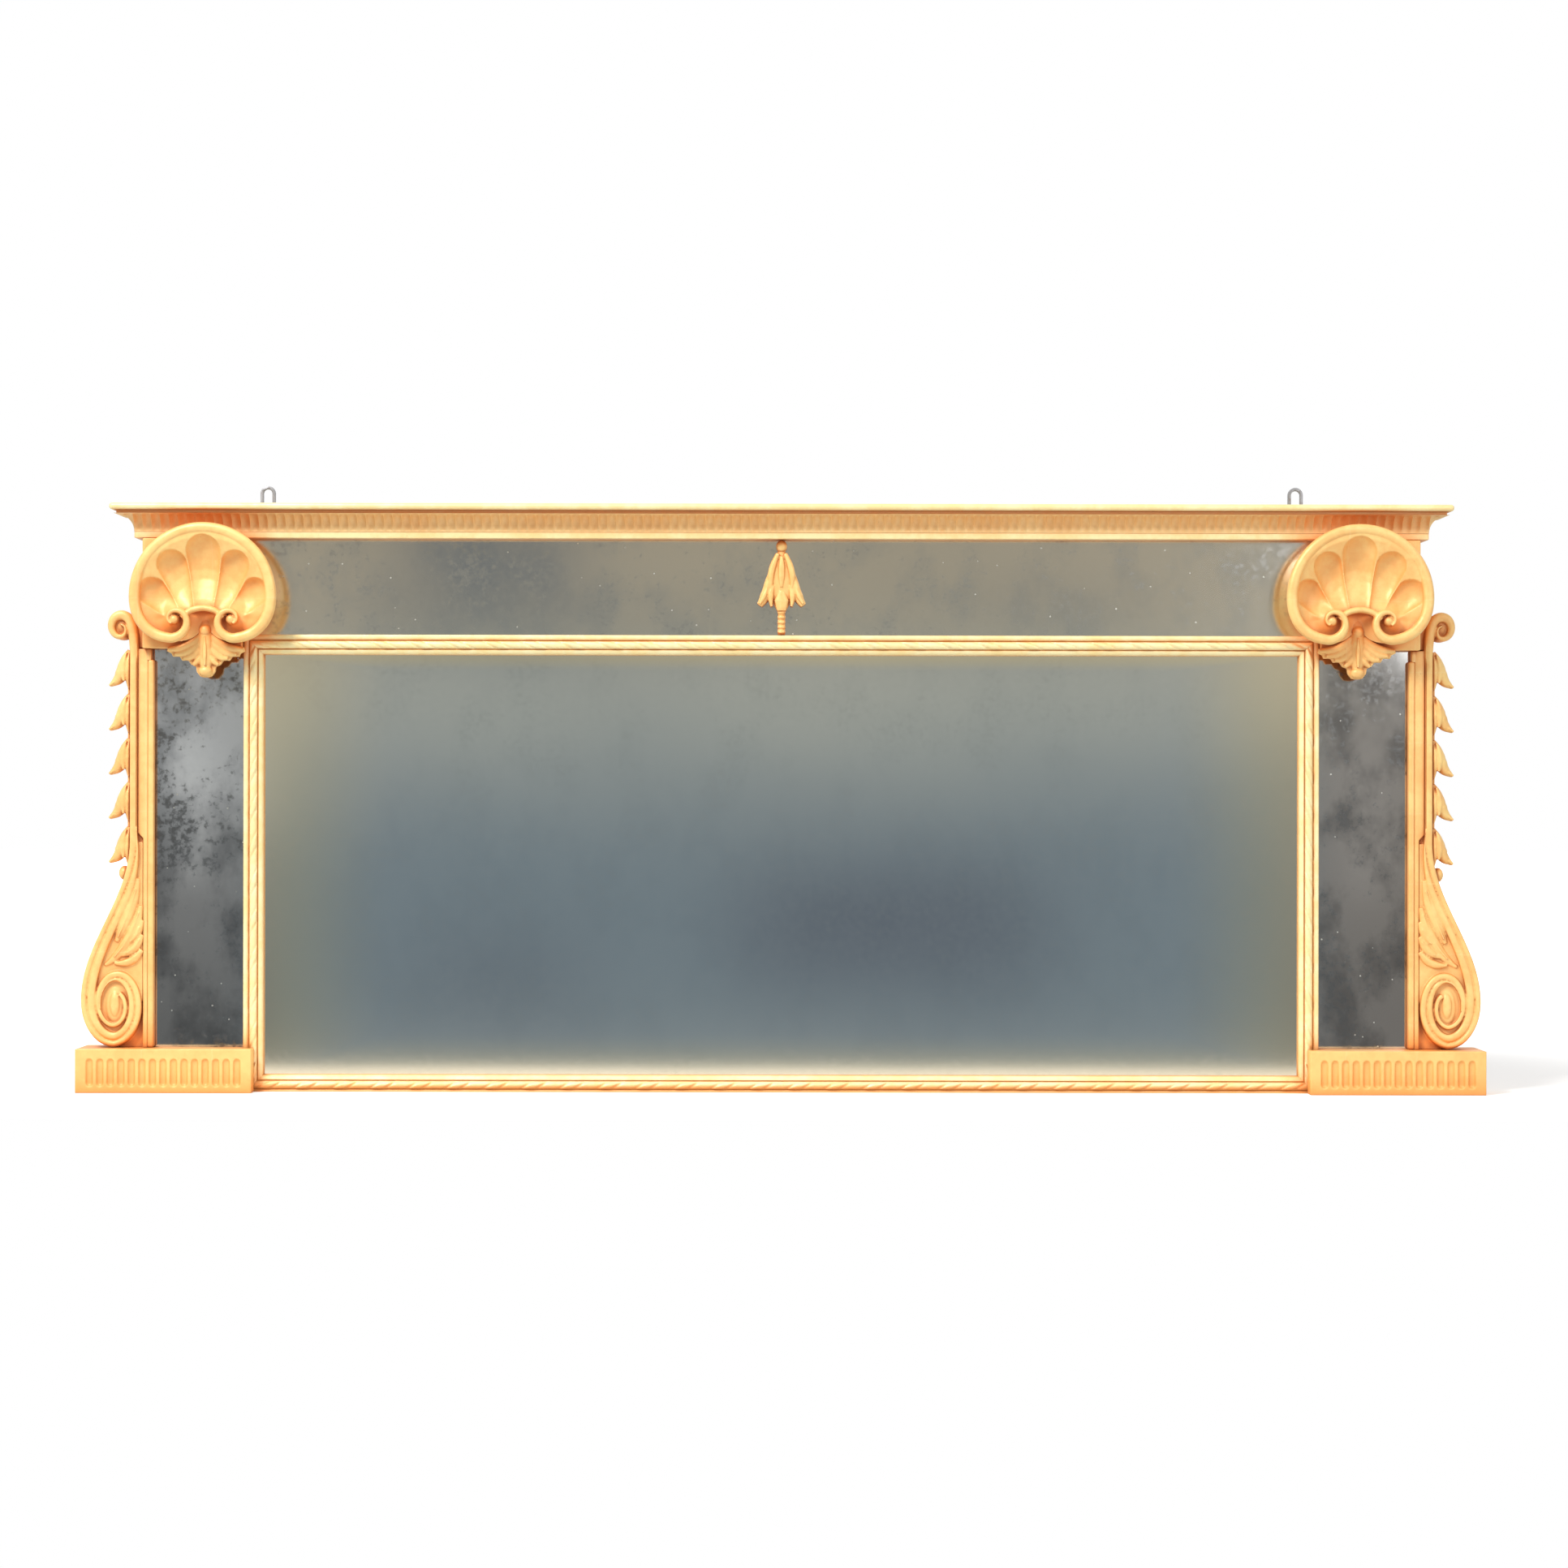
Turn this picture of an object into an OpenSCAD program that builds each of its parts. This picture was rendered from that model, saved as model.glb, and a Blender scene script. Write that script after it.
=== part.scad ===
// Giltwood overmantel mirror with a cornice, two carved shells, side consoles and five mirror plates.
// The frame stands on its base. X runs to the right, the front faces -Y and Z is up.
// Depths are written as t, the distance forward from the back plane of the mirror.

/* [Mirror plates] */
// Width of the big plate that shows
sight_w = 1148; // [1000:2:1300]
// Height of the big plate that shows
sight_h = 466; // [420:2:540]
// Width of each side plate that shows
side_sight_w = 99; // [96:1:130]
// Height of the frieze plates that shows
frieze_sight_h = 106; // [100:1:116]
// Thickness of the mirror plates
glass_t = 4; // [3:0.5:6]
// Depth of the rebate that hides the edge of a plate
plate_lip = 4; // [3:0.5:5]
// Free space between a plate and the rebate that holds it
plate_gap = 1; // [0.5:0.1:1.5]
// Free space between the two frieze plates at their joint
plate_joint = 0.5; // [0.2:0.1:1]

/* [Carcass] */
// Thickness of the pine carcass
carcass_t = 22; // [18:1:28]
// Height of the rail under the frieze
frieze_rail_h = 10; // [9:0.5:10.5]
// Thickness of the tenons
tenon_t = 10; // [7:1:12]
// Length of the tenons
tenon_l = 12; // [8:1:16]
// Length of the short tenons on the muntins
stub_tenon_l = 6; // [4:0.5:8]
// Shoulder left above and below a tenon
tenon_shoulder = 3; // [2:0.5:5]
// Free space round a tenon
tenon_gap = 0.2; // [0.1:0.05:0.4]
// Radius of the dowels
dowel_r = 3; // [2:0.5:3.5]
// Length of the dowels
dowel_l = 16; // [12:1:20]
// Free space round a dowel
dowel_gap = 0.1; // [0.05:0.05:0.3]

/* [Frame mouldings] */
// Width of the moulding round the big plate
moulding_w = 22; // [20:0.5:26]
// Width of its lower length, which is trimmed level with the base
sill_w = 18.5; // [16:0.5:20]
// Projection of the mouldings from the carcass
moulding_t = 14; // [12:0.5:18]
// Width of the outer and inner fillets of the moulding
moulding_fillet_w = 4.5; // [3.5:0.25:5.5]
// Width of the strip beside each console
stile_strip_w = 18; // [16:0.5:22]
// Width of the bead along that strip
stile_bead_w = 7; // [6:0.5:8]
// Thickness of the flat part of that strip
stile_strip_t = 10; // [8:0.5:12]

/* [Cornice] */
// Height of the fillet under the cove
fillet_h = 7; // [5:0.5:9]
// Height and projection of the cove
cove_r = 19; // [15:0.5:24]
// Thickness of the cornice board
board_h = 11; // [9:0.5:14]
// Overhang of the board beyond the cove
board_lip = 4.5; // [3:0.5:12]
// Overhang of the fillet beyond the side of the corner block
fillet_side = 9; // [6:0.5:12]

/* [Corner blocks and shells] */
// Thickness of the corner block
block_t = 21; // [18:0.5:24]
// Set back of the corner block from the edge of the console
block_step = 16; // [12:1:18]
// Radius of the shell
shell_r = 81; // [74:1:84]
// Relief of the shell above the block
shell_relief = 34; // [28:1:38]
// Distance of the shell centre inside the edge of the console
shell_inset = 87.5; // [80:0.5:92]
// Height of the shell centre above the bottom of the frieze
shell_rise = 40.5; // [36:0.5:44]
// Width of the raised rim of the shell
shell_rim_w = 11; // [8:0.5:14]
// Reach of the pendant below the circle of the shell's rim
pendant_reach = 8; // [3:1:18]

/* [Consoles] */
// Width of the shaft of the console
shaft_w = 9; // [8:0.5:12]
// Sweep of the foot of the console outwards from the shaft
console_sweep = 54; // [44:1:62]
// Height over which the console sweeps out
sweep_h = 176; // [150:2:220]
// Half height of the lower scroll
scroll_half_h = 52; // [44:1:58]
// Half width of the lower scroll
scroll_half_w = 38; // [32:1:42]
// Half height of the upper scroll
top_scroll_half_h = 19.5; // [16:0.5:22]
// Half width of the upper scroll
top_scroll_half_w = 17.5; // [14:0.5:19]
// Distance of the upper scroll centre outside the edge of the shaft
top_scroll_out = 10; // [8:0.5:14]
// Height of the upper scroll centre above the bottom of the frieze
top_scroll_rise = 9; // [0:1:16]
// Width of the raised border of the console
border_w = 7; // [5:0.5:8]
// Relief of the raised border
border_relief = 8; // [5:0.5:10]
// Thickness of the console under its border
console_t = 24; // [20:1:26]
// Height from one husk to the next
husk_pitch = 49; // [44:1:54]
// Radius of a husk at its lip
husk_r = 25.5; // [20:0.5:27]

/* [Plinths] */
// Width of each plinth
plinth_w = 194; // [180:1:220]
// Height of each plinth
plinth_h = 48.5; // [46:0.5:60]
// Projection of the plinth in front of the carcass
plinth_t = 33; // [28:1:38]
// Radius of the flutes in the plinth
flute_r = 4.2; // [3:0.1:4.8]
// Distance from one flute to the next
flute_pitch = 11.6; // [10.6:0.1:13]
// Plain band above and below the flutes
flute_margin = 7; // [6:0.5:10]

/* [Back] */
// Thickness of the backboards
backboard_t = 7; // [5:0.5:9]
// Free space between two backboards
board_gap = 0.4; // [0.2:0.1:1]
// Thickness of the hanging plates
hanger_t = 3; // [2:0.5:3.5]
// Distance of each hanging plate inside the edge of the console
hanger_inset = 147; // [130:1:260]
// Width of the eye of a hanging plate
hanger_eye_w = 17; // [15:0.5:20]
// Width of the slot in the eye
hanger_slot_w = 9.6; // [8:0.2:10]
// Height of the eye above the cornice
hanger_rise = 25; // [20:1:30]
// Radius of the shank of the hanger screws
hanger_screw_r = 2; // [1.5:0.1:2.4]
// Radius of the shank of the backboard screws
back_screw_r = 1.6; // [1.2:0.1:2]

/* [Hidden] */

smooth = 64;
right = 1;
left = -1;
cut = 1;

gilt = "goldenrod";
gilt_pale = "khaki";
gilt_deep = "darkgoldenrod";
pine = "burlywood";
silvered = "lightslategray";
steel = "dimgray";

// Places across the front, from the middle outwards.
x_sight = sight_w / 2;
x_frame = x_sight + moulding_w;
x_side = x_frame + side_sight_w;
x_band = x_side + stile_strip_w;
x_edge = x_band + shaft_w;
x_sweep = x_edge + console_sweep;
x_muntin_in = x_sight + plate_lip;
x_muntin_out = x_frame - plate_lip;
x_ground_in = x_frame + plate_lip;
x_stile_in = x_side + plate_lip;
x_block = x_edge - block_step;
x_fillet = x_block + fillet_side;
x_cove = x_fillet + cove_r;
x_board = x_cove + board_lip;

// Heights.
z_sill = sill_w;
z_head = z_sill + sight_h;
z_frieze = z_head + moulding_w;
z_fillet = z_frieze + frieze_sight_h;
z_cove = z_fillet + fillet_h;
z_board = z_cove + cove_r;
z_top = z_board + board_h;
z_bottom_rail = z_sill - plate_lip;
z_side_rail = plinth_h - plate_lip;
z_rail_top = z_frieze - 0.75 * plate_lip;
z_rail_bottom = z_rail_top - frieze_rail_h;
z_top_rail = z_fillet + plate_lip;
z_block = z_rail_bottom - 0.75 * plate_lip;
z_top_scroll = z_frieze + top_scroll_rise;
z_stile_top = z_top_scroll + top_scroll_half_h + 3;

// Depths forward from the back plane.
t_board = hanger_t;
t_back = backboard_t;
t_face = t_back + carcass_t;
t_glass = t_face - glass_t;
t_mould = t_face + moulding_t;
t_block = t_face + block_t;
t_cove = t_block + cove_r;
t_cornice = t_cove + board_lip;
t_shell = t_block + shell_relief;
t_plinth = t_face + plinth_t;
t_tenon_back = t_back + (carcass_t - tenon_t) / 2;
t_middle = t_back + carcass_t / 2;
t_front = max(t_shell, t_cornice);
back_y = t_front / 2;

// ---------------------------------------------------------------- helpers

// A block between two places across, two heights and two depths.
module slab(x, z, t) {
    translate([x[0], back_y - t[1], z[0]]) cube([x[1] - x[0], t[1] - t[0], z[1] - z[0]]);
}

// An outline drawn in the front view, given a thickness between two depths.
module from_front(t) {
    translate([0, back_y - t[0], 0]) rotate([90, 0, 0]) linear_extrude(t[1] - t[0]) children();
}

// A section drawn as depth and height, run across the mirror.
module run_across(x) {
    translate([x[0], back_y, 0]) mirror([0, 1, 0]) rotate([90, 0, 90])
        linear_extrude(x[1] - x[0]) children();
}

// A section drawn as place across and depth, run upwards.
module run_up(z) {
    translate([0, back_y, z[0]]) mirror([0, 1, 0]) linear_extrude(z[1] - z[0]) children();
}

// A round bar that points forward from one depth to another.
module bar_forward(x, z, t, r) {
    translate([x, back_y - t[0], z]) rotate([90, 0, 0]) cylinder(r = r, h = t[1] - t[0], $fn = smooth);
}

// A round bar that points upwards.
module bar_up(x, t, z, r) {
    translate([x, back_y - t, z[0]]) cylinder(r = r, h = z[1] - z[0], $fn = smooth);
}

// A closed outline from its right half, listed from the top down, and the point at its foot.
function both_halves(half, foot) =
    concat(half, [foot], [for (i = [len(half) - 1 : -1 : 0]) [-half[i][0], half[i][1]]]);

// A list of points moved by one step.
function moved(points, step) = [for (p = points) p + step];

// What is drawn for the right side, or its mirror image for the left side.
module on_side(side) {
    if (side == left) mirror([1, 0, 0]) children();
    else children();
}

// ---------------------------------------------------------------- carcass

// Tenons lie across the rails and up the muntins; a mortise is the tenon grown by the gap.
function tenon_ts(gap) = [t_tenon_back - gap, t_tenon_back + tenon_t + gap];

module bottom_tenon(gap) {
    slab([x_stile_in - cut, x_stile_in + tenon_l + gap],
         [tenon_shoulder - gap, z_bottom_rail - tenon_shoulder + gap], tenon_ts(gap));
}

module side_rail_tenons(gap) {
    z = [z_bottom_rail + tenon_shoulder - gap, z_side_rail - tenon_shoulder + gap];
    slab([x_stile_in - cut, x_stile_in + tenon_l + gap], z, tenon_ts(gap));
    slab([x_muntin_out - stub_tenon_l - gap, x_muntin_out + cut], z, tenon_ts(gap));
}

module frieze_tenon(gap) {
    slab([x_stile_in - cut, x_stile_in + tenon_l + gap],
         [z_rail_bottom + tenon_shoulder / 2 - gap, z_rail_top - tenon_shoulder / 2 + gap], tenon_ts(gap));
}

module muntin_tenons(gap) {
    x = [x_muntin_in + tenon_shoulder - gap, x_muntin_out - tenon_shoulder + gap];
    slab(x, [z_bottom_rail - stub_tenon_l - gap, z_bottom_rail + cut], tenon_ts(gap));
    slab(x, [z_rail_bottom - cut, z_rail_bottom + stub_tenon_l + gap], tenon_ts(gap));
}

// Dowels join the corner ground to the rails and the stile.
rail_dowel_xs = [x_ground_in + 25, x_block - 25];

module corner_dowels(gap) {
    for (x = rail_dowel_xs) {
        bar_up(x, t_middle, [z_rail_top - frieze_rail_h / 2 - gap, z_rail_top + dowel_l / 2 + gap],
               dowel_r + gap);
        bar_up(x, t_middle, [z_top_rail - dowel_l / 2 - gap, z_top_rail + dowel_l / 2 + gap],
               dowel_r + gap);
    }
    bar_up((x_stile_in + x_block) / 2, t_middle,
           [z_stile_top - dowel_l / 2 - gap, z_stile_top + dowel_l / 2 + gap], dowel_r + gap);
}

module both_corner_dowels(gap) {
    for (side = [left, right]) on_side(side) corner_dowels(gap);
}

module dowels() {
    color(pine) both_corner_dowels(0);
}

module stile(side) {
    color(pine) on_side(side) difference() {
        slab([x_stile_in, x_edge], [0, z_stile_top], [t_back, t_face]);
        bottom_tenon(tenon_gap);
        side_rail_tenons(tenon_gap);
        frieze_tenon(tenon_gap);
        corner_dowels(dowel_gap);
        back_screw_holes();
    }
}

module bottom_rail() {
    color(pine) difference() {
        union() {
            slab([-x_stile_in, x_stile_in], [0, z_bottom_rail], [t_back, t_face]);
            for (side = [left, right]) on_side(side) bottom_tenon(0);
        }
        for (side = [left, right]) on_side(side) muntin_tenons(tenon_gap);
    }
}

module frieze_rail() {
    color(pine) difference() {
        union() {
            slab([-x_stile_in, x_stile_in], [z_rail_bottom, z_rail_top], [t_back, t_face]);
            for (side = [left, right]) on_side(side) frieze_tenon(0);
        }
        for (side = [left, right]) on_side(side) muntin_tenons(tenon_gap);
        both_corner_dowels(dowel_gap);
    }
}

module top_rail() {
    color(pine) difference() {
        slab([-x_block, x_block], [z_top_rail, z_board], [t_board, t_face]);
        both_corner_dowels(dowel_gap);
        hanger_screw_holes();
    }
}

module muntin(side) {
    color(pine) on_side(side) difference() {
        union() {
            slab([x_muntin_in, x_muntin_out], [z_bottom_rail, z_rail_bottom], [t_back, t_face]);
            muntin_tenons(0);
        }
        side_rail_tenons(tenon_gap);
        back_screw_holes();
    }
}

module side_rail(side) {
    color(pine) on_side(side) union() {
        slab([x_muntin_out, x_stile_in], [z_bottom_rail, z_side_rail], [t_back, t_face]);
        side_rail_tenons(0);
    }
}

module corner_ground(side) {
    color(pine) on_side(side) difference() {
        slab([x_ground_in, x_block], [z_rail_top, z_top_rail], [t_back, t_face]);
        slab([x_stile_in, x_block + cut], [z_rail_top - cut, z_stile_top], [t_back - cut, t_face + cut]);
        corner_dowels(dowel_gap);
        back_screw_holes();
    }
}

// ---------------------------------------------------------------- frame mouldings

bead_r = (moulding_w - 3 * moulding_fillet_w) / 2;
moulding_low_t = moulding_t - bead_r;

// Section of the moulding: u runs from the sight edge outwards and v is the projection.
module moulding_section() {
    outer_u = moulding_w - moulding_fillet_w;
    square([moulding_w, moulding_low_t]);
    translate([outer_u - bead_r, moulding_low_t]) circle(bead_r, $fn = smooth);
    translate([outer_u, 0]) square([moulding_fillet_w, moulding_t - bead_r / 3]);
    polygon([[0, 0], [moulding_fillet_w, 0], [moulding_fillet_w, moulding_t - bead_r / 2],
             [moulding_fillet_w / 3, moulding_low_t + bead_r / 3], [0, moulding_low_t - bead_r / 2]]);
}

module frame_rail_length(z_edge, up) {
    reach = x_frame;
    mitre = up ? moulding_w : sill_w;
    color(gilt) intersection() {
        run_across([-reach, reach]) translate([t_face, z_edge]) mirror([0, up ? 0 : 1])
            mirror([1, -1]) moulding_section();
        from_front([t_face - cut, t_mould + cut])
            polygon(up
                ? [[-x_sight, z_edge], [x_sight, z_edge],
                   [x_sight + mitre, z_edge + mitre], [-x_sight - mitre, z_edge + mitre]]
                : [[-x_sight, z_edge], [x_sight, z_edge],
                   [x_sight + mitre, z_edge - mitre], [-x_sight - mitre, z_edge - mitre]]);
    }
}

module frame_side_length(side) {
    color(gilt) on_side(side) intersection() {
        run_up([0, z_frieze]) translate([x_sight, t_face]) moulding_section();
        from_front([t_face - cut, t_mould + cut])
            polygon([[x_sight, z_sill], [x_sight, z_head], [x_frame, z_frieze],
                     [x_frame, 0], [x_sight + sill_w, 0]]);
    }
}

// Strip beside the console: a bead that stops below the shell, a quirk and a flat band.
bead_stop = 12;
cap_inset = 3;
quirk_w = 1.2;
console_lap = 6;

module stile_moulding(side) {
    z_lap = (z_shaft + z_shoulder) / 2;
    bead = stile_bead_w / 2;
    color(gilt_pale) on_side(side) union() {
        slab([x_side + stile_bead_w, x_band - console_lap], [plinth_h, z_block],
             [t_face, t_face + stile_strip_t]);
        slab([x_band - console_lap, x_band], [z_lap, z_block], [t_face, t_face + stile_strip_t]);
        slab([x_side, x_side + stile_bead_w], [plinth_h, z_block - bead_stop],
             [t_face, t_face + stile_strip_t - quirk_w]);
        slab([x_side + cap_inset, x_side + stile_bead_w], [z_block - bead_stop, z_block],
             [t_face, t_face + stile_strip_t]);
        bar_up(x_side + bead, t_face + stile_strip_t - quirk_w, [plinth_h, z_block - bead_stop],
               bead - quirk_w / 4);
    }
}

// ---------------------------------------------------------------- cornice

module cove_section() {
    difference() {
        square([cove_r, cove_r]);
        translate([cove_r, 0]) circle(cove_r, $fn = 2 * smooth);
    }
}

// The returns meet the front lengths on a mitre in plan.
function mitre_x(t) = x_fillet + t - t_block;

module front_plan(z) {
    run_up(z) polygon([[-mitre_x(t_face), t_face], [mitre_x(t_face), t_face],
                       [mitre_x(t_cornice), t_cornice], [-mitre_x(t_cornice), t_cornice]]);
}

module return_plan(z) {
    run_up(z) polygon([[x_block, t_board], [mitre_x(t_cornice), t_board],
                       [mitre_x(t_cornice), t_cornice], [mitre_x(t_face), t_face], [x_block, t_face]]);
}

module cornice_cove_front() {
    color(gilt_deep) intersection() {
        run_across([-x_cove, x_cove]) union() {
            translate([t_face, z_cove]) square([t_block - t_face, cove_r]);
            translate([t_block, z_cove]) cove_section();
        }
        front_plan([z_cove, z_board]);
    }
}

module cornice_cove_return(side) {
    color(gilt_deep) on_side(side) intersection() {
        from_front([t_board, t_cove]) union() {
            translate([mitre_x(t_face), z_cove]) square([x_fillet - mitre_x(t_face), cove_r]);
            translate([x_fillet, z_cove]) cove_section();
        }
        return_plan([z_cove, z_board]);
    }
}

module cornice_fillet_front() {
    color(gilt_pale) intersection() {
        slab([-x_fillet, x_fillet], [z_fillet, z_cove], [t_face, t_block]);
        front_plan([z_fillet, z_cove]);
    }
}

module cornice_fillet_return(side) {
    color(gilt_pale) on_side(side) intersection() {
        slab([mitre_x(t_face), x_fillet], [z_fillet, z_cove], [t_board, t_block]);
        return_plan([z_fillet, z_cove]);
    }
}

// The board has a half round front and ends.
module cornice_board() {
    nose = board_h / 2;
    z = z_board + nose;
    color(gilt_pale) union() {
        slab([-x_board + nose, x_board - nose], [z_board, z_top], [t_board, t_cornice - nose]);
        translate([-x_board + nose, back_y - t_cornice + nose, z]) rotate([0, 90, 0])
            cylinder(r = nose, h = 2 * (x_board - nose), $fn = smooth);
        for (side = [left, right]) on_side(side) {
            translate([x_board - nose, back_y - t_board, z]) rotate([90, 0, 0])
                cylinder(r = nose, h = t_cornice - nose - t_board, $fn = smooth);
            translate([x_board - nose, back_y - t_cornice + nose, z]) sphere(nose, $fn = smooth);
        }
    }
}

// ---------------------------------------------------------------- corner blocks and shells

x_shell = x_edge - shell_inset;
z_shell = z_frieze + shell_rise;

module corner_block(side) {
    color(gilt_deep) on_side(side) slab([x_frame, x_block], [z_block, z_fillet], [t_face, t_block]);
}

// The shell is a dish of five hollow flutes that spread from a hub, inside a raised rim
// that ends below in two scrolls. Its front is a height above the block at each place.
shell_columns = 72;
shell_rings = 15;
hub_drop = 0.17 * shell_r;
flute_angle = 38;
scroll_x = 0.38 * shell_r;
scroll_z = -0.32 * shell_r;
scroll_reach = 0.26 * shell_r;
draw_in = 0.42;
notch = 0.2;
notch_angle = 13;

function soft(v) = let (c = min(1, max(0, v))) c * c * (3 - 2 * c);
function bell(v) = exp(-v * v);

// Outline of the shell: a circle that draws in below, with a notch between the scrolls.
function shell_edge(a) =
    let (low = max(0, -sin(a)))
    shell_r * (1 - draw_in * low * low * low) * (1 - notch * bell((a - 270) / notch_angle));

function scroll_height(x, z) =
    let (d = norm([abs(x) - scroll_x, z - scroll_z]) / scroll_reach)
    d > 1 ? 0 : shell_relief * (0.66 + 0.2 * cos(d * 540) * (1 - d / 2));

function dish_height(x, z, s) =
    let (hub = norm([x, z + hub_drop]) / shell_r,
         turn = atan2(x, z + hub_drop),
         rim = 1 - shell_rim_w / shell_r,
         bowl = shell_relief * (0.34 + 0.34 * s * s),
         fan = soft(hub * 3) * soft((rim - s) * 9) * (abs(turn) < 2.6 * flute_angle ? 1 : 0),
         flute = 0.2 * shell_relief * fan * pow(abs(cos(turn * 180 / flute_angle)), 1.5),
         lip = shell_relief * (1 - 0.3 * pow((s - rim / 2 - 0.5) * 2 * shell_r / shell_rim_w, 2)))
    s > rim ? lip : bowl - flute;

function shell_height(x, z, s) = max(dish_height(x, z, s), scroll_height(x, z));

function shell_s(i) =
    let (rim = 1 - shell_rim_w / shell_r, steps = shell_rings - 4)
    i <= steps ? rim * i / steps : rim + (1 - rim) * (i - steps) / 4;

// The wall slopes in from the rim to a foot that lies on the block.
shell_foot = 0.86;

module shell_solid() {
    n = shell_columns;
    turns = [for (j = [0 : n - 1]) j * 360 / n];
    front = [for (i = [1 : shell_rings], a = turns)
        let (s = shell_s(i), x = s * shell_edge(a) * cos(a), z = s * shell_edge(a) * sin(a))
        [x, -shell_height(x, z, s), z]];
    foot = [for (a = turns) shell_foot * shell_edge(a) * [cos(a), 0, sin(a)]];
    first_foot = shell_rings * n;
    hub = first_foot + n;
    function strip(from, to) = [for (j = [0 : n - 1]) each
        [[from + j, from + (j + 1) % n, to + j], [from + (j + 1) % n, to + (j + 1) % n, to + j]]];
    translate([x_shell, back_y - t_block, z_shell]) polyhedron(
        points = concat(front, foot, [[0, -shell_height(0, 0, 0), 0], [0, 0, 0]]),
        faces = concat(
            [for (j = [0 : n - 1]) [hub, (j + 1) % n, j]],
            [for (i = [0 : shell_rings - 2]) each strip(i * n, (i + 1) * n)],
            strip((shell_rings - 1) * n, first_foot),
            [for (j = [0 : n - 1]) [hub + 1, first_foot + j, first_foot + (j + 1) % n]]),
        convexity = 6);
}

module shell(side) {
    color(gilt) on_side(side) shell_solid();
}

// Pendant: an acanthus leaf with side lobes, a rib down its middle and a bud at its tip.
// A tongue glued to the block under the shell carries it.
pendant_tuck = 26;
pendant_relief = 10;
pendant_rib_top_r = 7;
pendant_rib_low_r = 6;
pendant_bud_r = 7;
tongue_half_w = 4;
tongue_t = 3;
tongue_rise = 10;
tip_step = 5;

// Right half of the leaf, across and down from its top.
pendant_lobes = [[tongue_half_w, -2], [18, -5], [30, -1], [43, -3], [42, -8], [32, -13],
                 [21, -12], [17, -18]];

module shell_pendant(side) {
    tip = z_shell - shell_r - pendant_reach;
    leaf_top = z_shell - shell_r + pendant_tuck;
    rib_t = t_block + pendant_relief + 1;
    rib_foot = tip + pendant_bud_r + tip_step;
    rib_top = leaf_top - tongue_half_w;
    half = concat(moved(pendant_lobes, [0, leaf_top]), [[9, rib_foot]]);
    color(gilt_pale) on_side(side) translate([x_shell, 0, 0]) union() {
        from_front([t_block, t_block + pendant_relief])
            polygon(both_halves(half, [0, tip + tip_step]));
        slab([-tongue_half_w, tongue_half_w], [rib_top, leaf_top + tongue_rise],
             [t_block, t_block + tongue_t]);
        translate([0, back_y - rib_t, rib_foot])
            cylinder(r1 = pendant_rib_low_r, r2 = pendant_rib_top_r, h = rib_top - rib_foot, $fn = smooth);
        translate([0, back_y - rib_t, tip + pendant_bud_r]) sphere(pendant_bud_r, $fn = smooth);
    }
}

// ---------------------------------------------------------------- consoles

z_scroll = plinth_h + scroll_half_h;
z_shaft = z_scroll + sweep_h;
x_scroll = x_sweep - scroll_half_w;
x_top_scroll = x_edge + top_scroll_out;
// Each quarter turn draws the scrolls in to this share of their size.
scroll_quarter = 0.8;
top_scroll_quarter = 0.72;
scroll_decay = ln(1 / scroll_quarter) / 90;
top_scroll_decay = ln(1 / top_scroll_quarter) / 90;
console_back_t = 12;
step_in = 0.6;
seat_gap = 0.3;
t_console = console_back_t + console_t;
t_border = t_console + border_relief;
x_leaf_in = x_band - console_lap;
shoulder_h = 20;
scroll_lap = 2;
border_end = 3;
z_shoulder = z_shaft + shoulder_h;
curve_steps = 20;

// The edge of the console leaves the shaft and reaches the scroll without a corner.
function sweep_x(z) = x_edge + console_sweep * (1 - cos(180 * (z_shaft - z) / sweep_h)) / 2;
function sweep_pts(inset, from = z_shaft, to = z_scroll) = [for (i = [0 : curve_steps])
    let (z = from + (to - from) * i / curve_steps) [sweep_x(z) - inset, z]];

// A scroll winds down from its outer side, round its foot and in to its eye.
function scroll_r(a) = min(1, exp(-scroll_decay * (a - 90)));
function scroll_pts(from, to, share, steps = curve_steps) = [for (i = [0 : steps])
    let (a = from + (to - from) * i / steps, r = share * scroll_r(a))
    [x_scroll + scroll_half_w * r * cos(a), z_scroll - scroll_half_h * r * sin(a)]];

function top_scroll_r(a) = exp(-top_scroll_decay * max(0, a - 90));
function top_scroll_pts(from, to, share) = [for (i = [0 : curve_steps])
    let (a = from + (to - from) * i / curve_steps, r = share * top_scroll_r(a))
    [x_top_scroll - top_scroll_half_w * r * cos(a), z_top_scroll + top_scroll_half_h * r * sin(a)]];

function back_to_front(points) = [for (i = [len(points) - 1 : -1 : 0]) points[i]];

module ribbon(points_out, points_in) {
    polygon(concat(points_out, back_to_front(points_in)));
}

// Front layer: the shaft, the swept panel and the foot round the lower scroll.
module console_front() {
    polygon(concat(
        [[x_leaf_in, z_shaft], [x_band, z_shoulder], [x_band, z_top_scroll], [x_edge, z_top_scroll]],
        sweep_pts(0),
        scroll_pts(6, 180, 1)));
}

// Back layer: the part of the foot that stands outside the stile.
back_turn = 110;
back_drop = 30;

module console_back() {
    share = 1 - step_in / scroll_half_w;
    foot = scroll_pts(0, back_turn, share);
    z_start = z_shaft - back_drop;
    x_seat = x_edge + seat_gap;
    polygon(concat([[x_seat, z_start]], sweep_pts(step_in, z_start, z_scroll + scroll_lap), foot,
                   [[x_seat, foot[curve_steps][1]]]));
}

// The raised border runs down the shaft, out along the sweep and in round the scroll.
eye_turn = 545;
spiral_steps = 3 * curve_steps;

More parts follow.
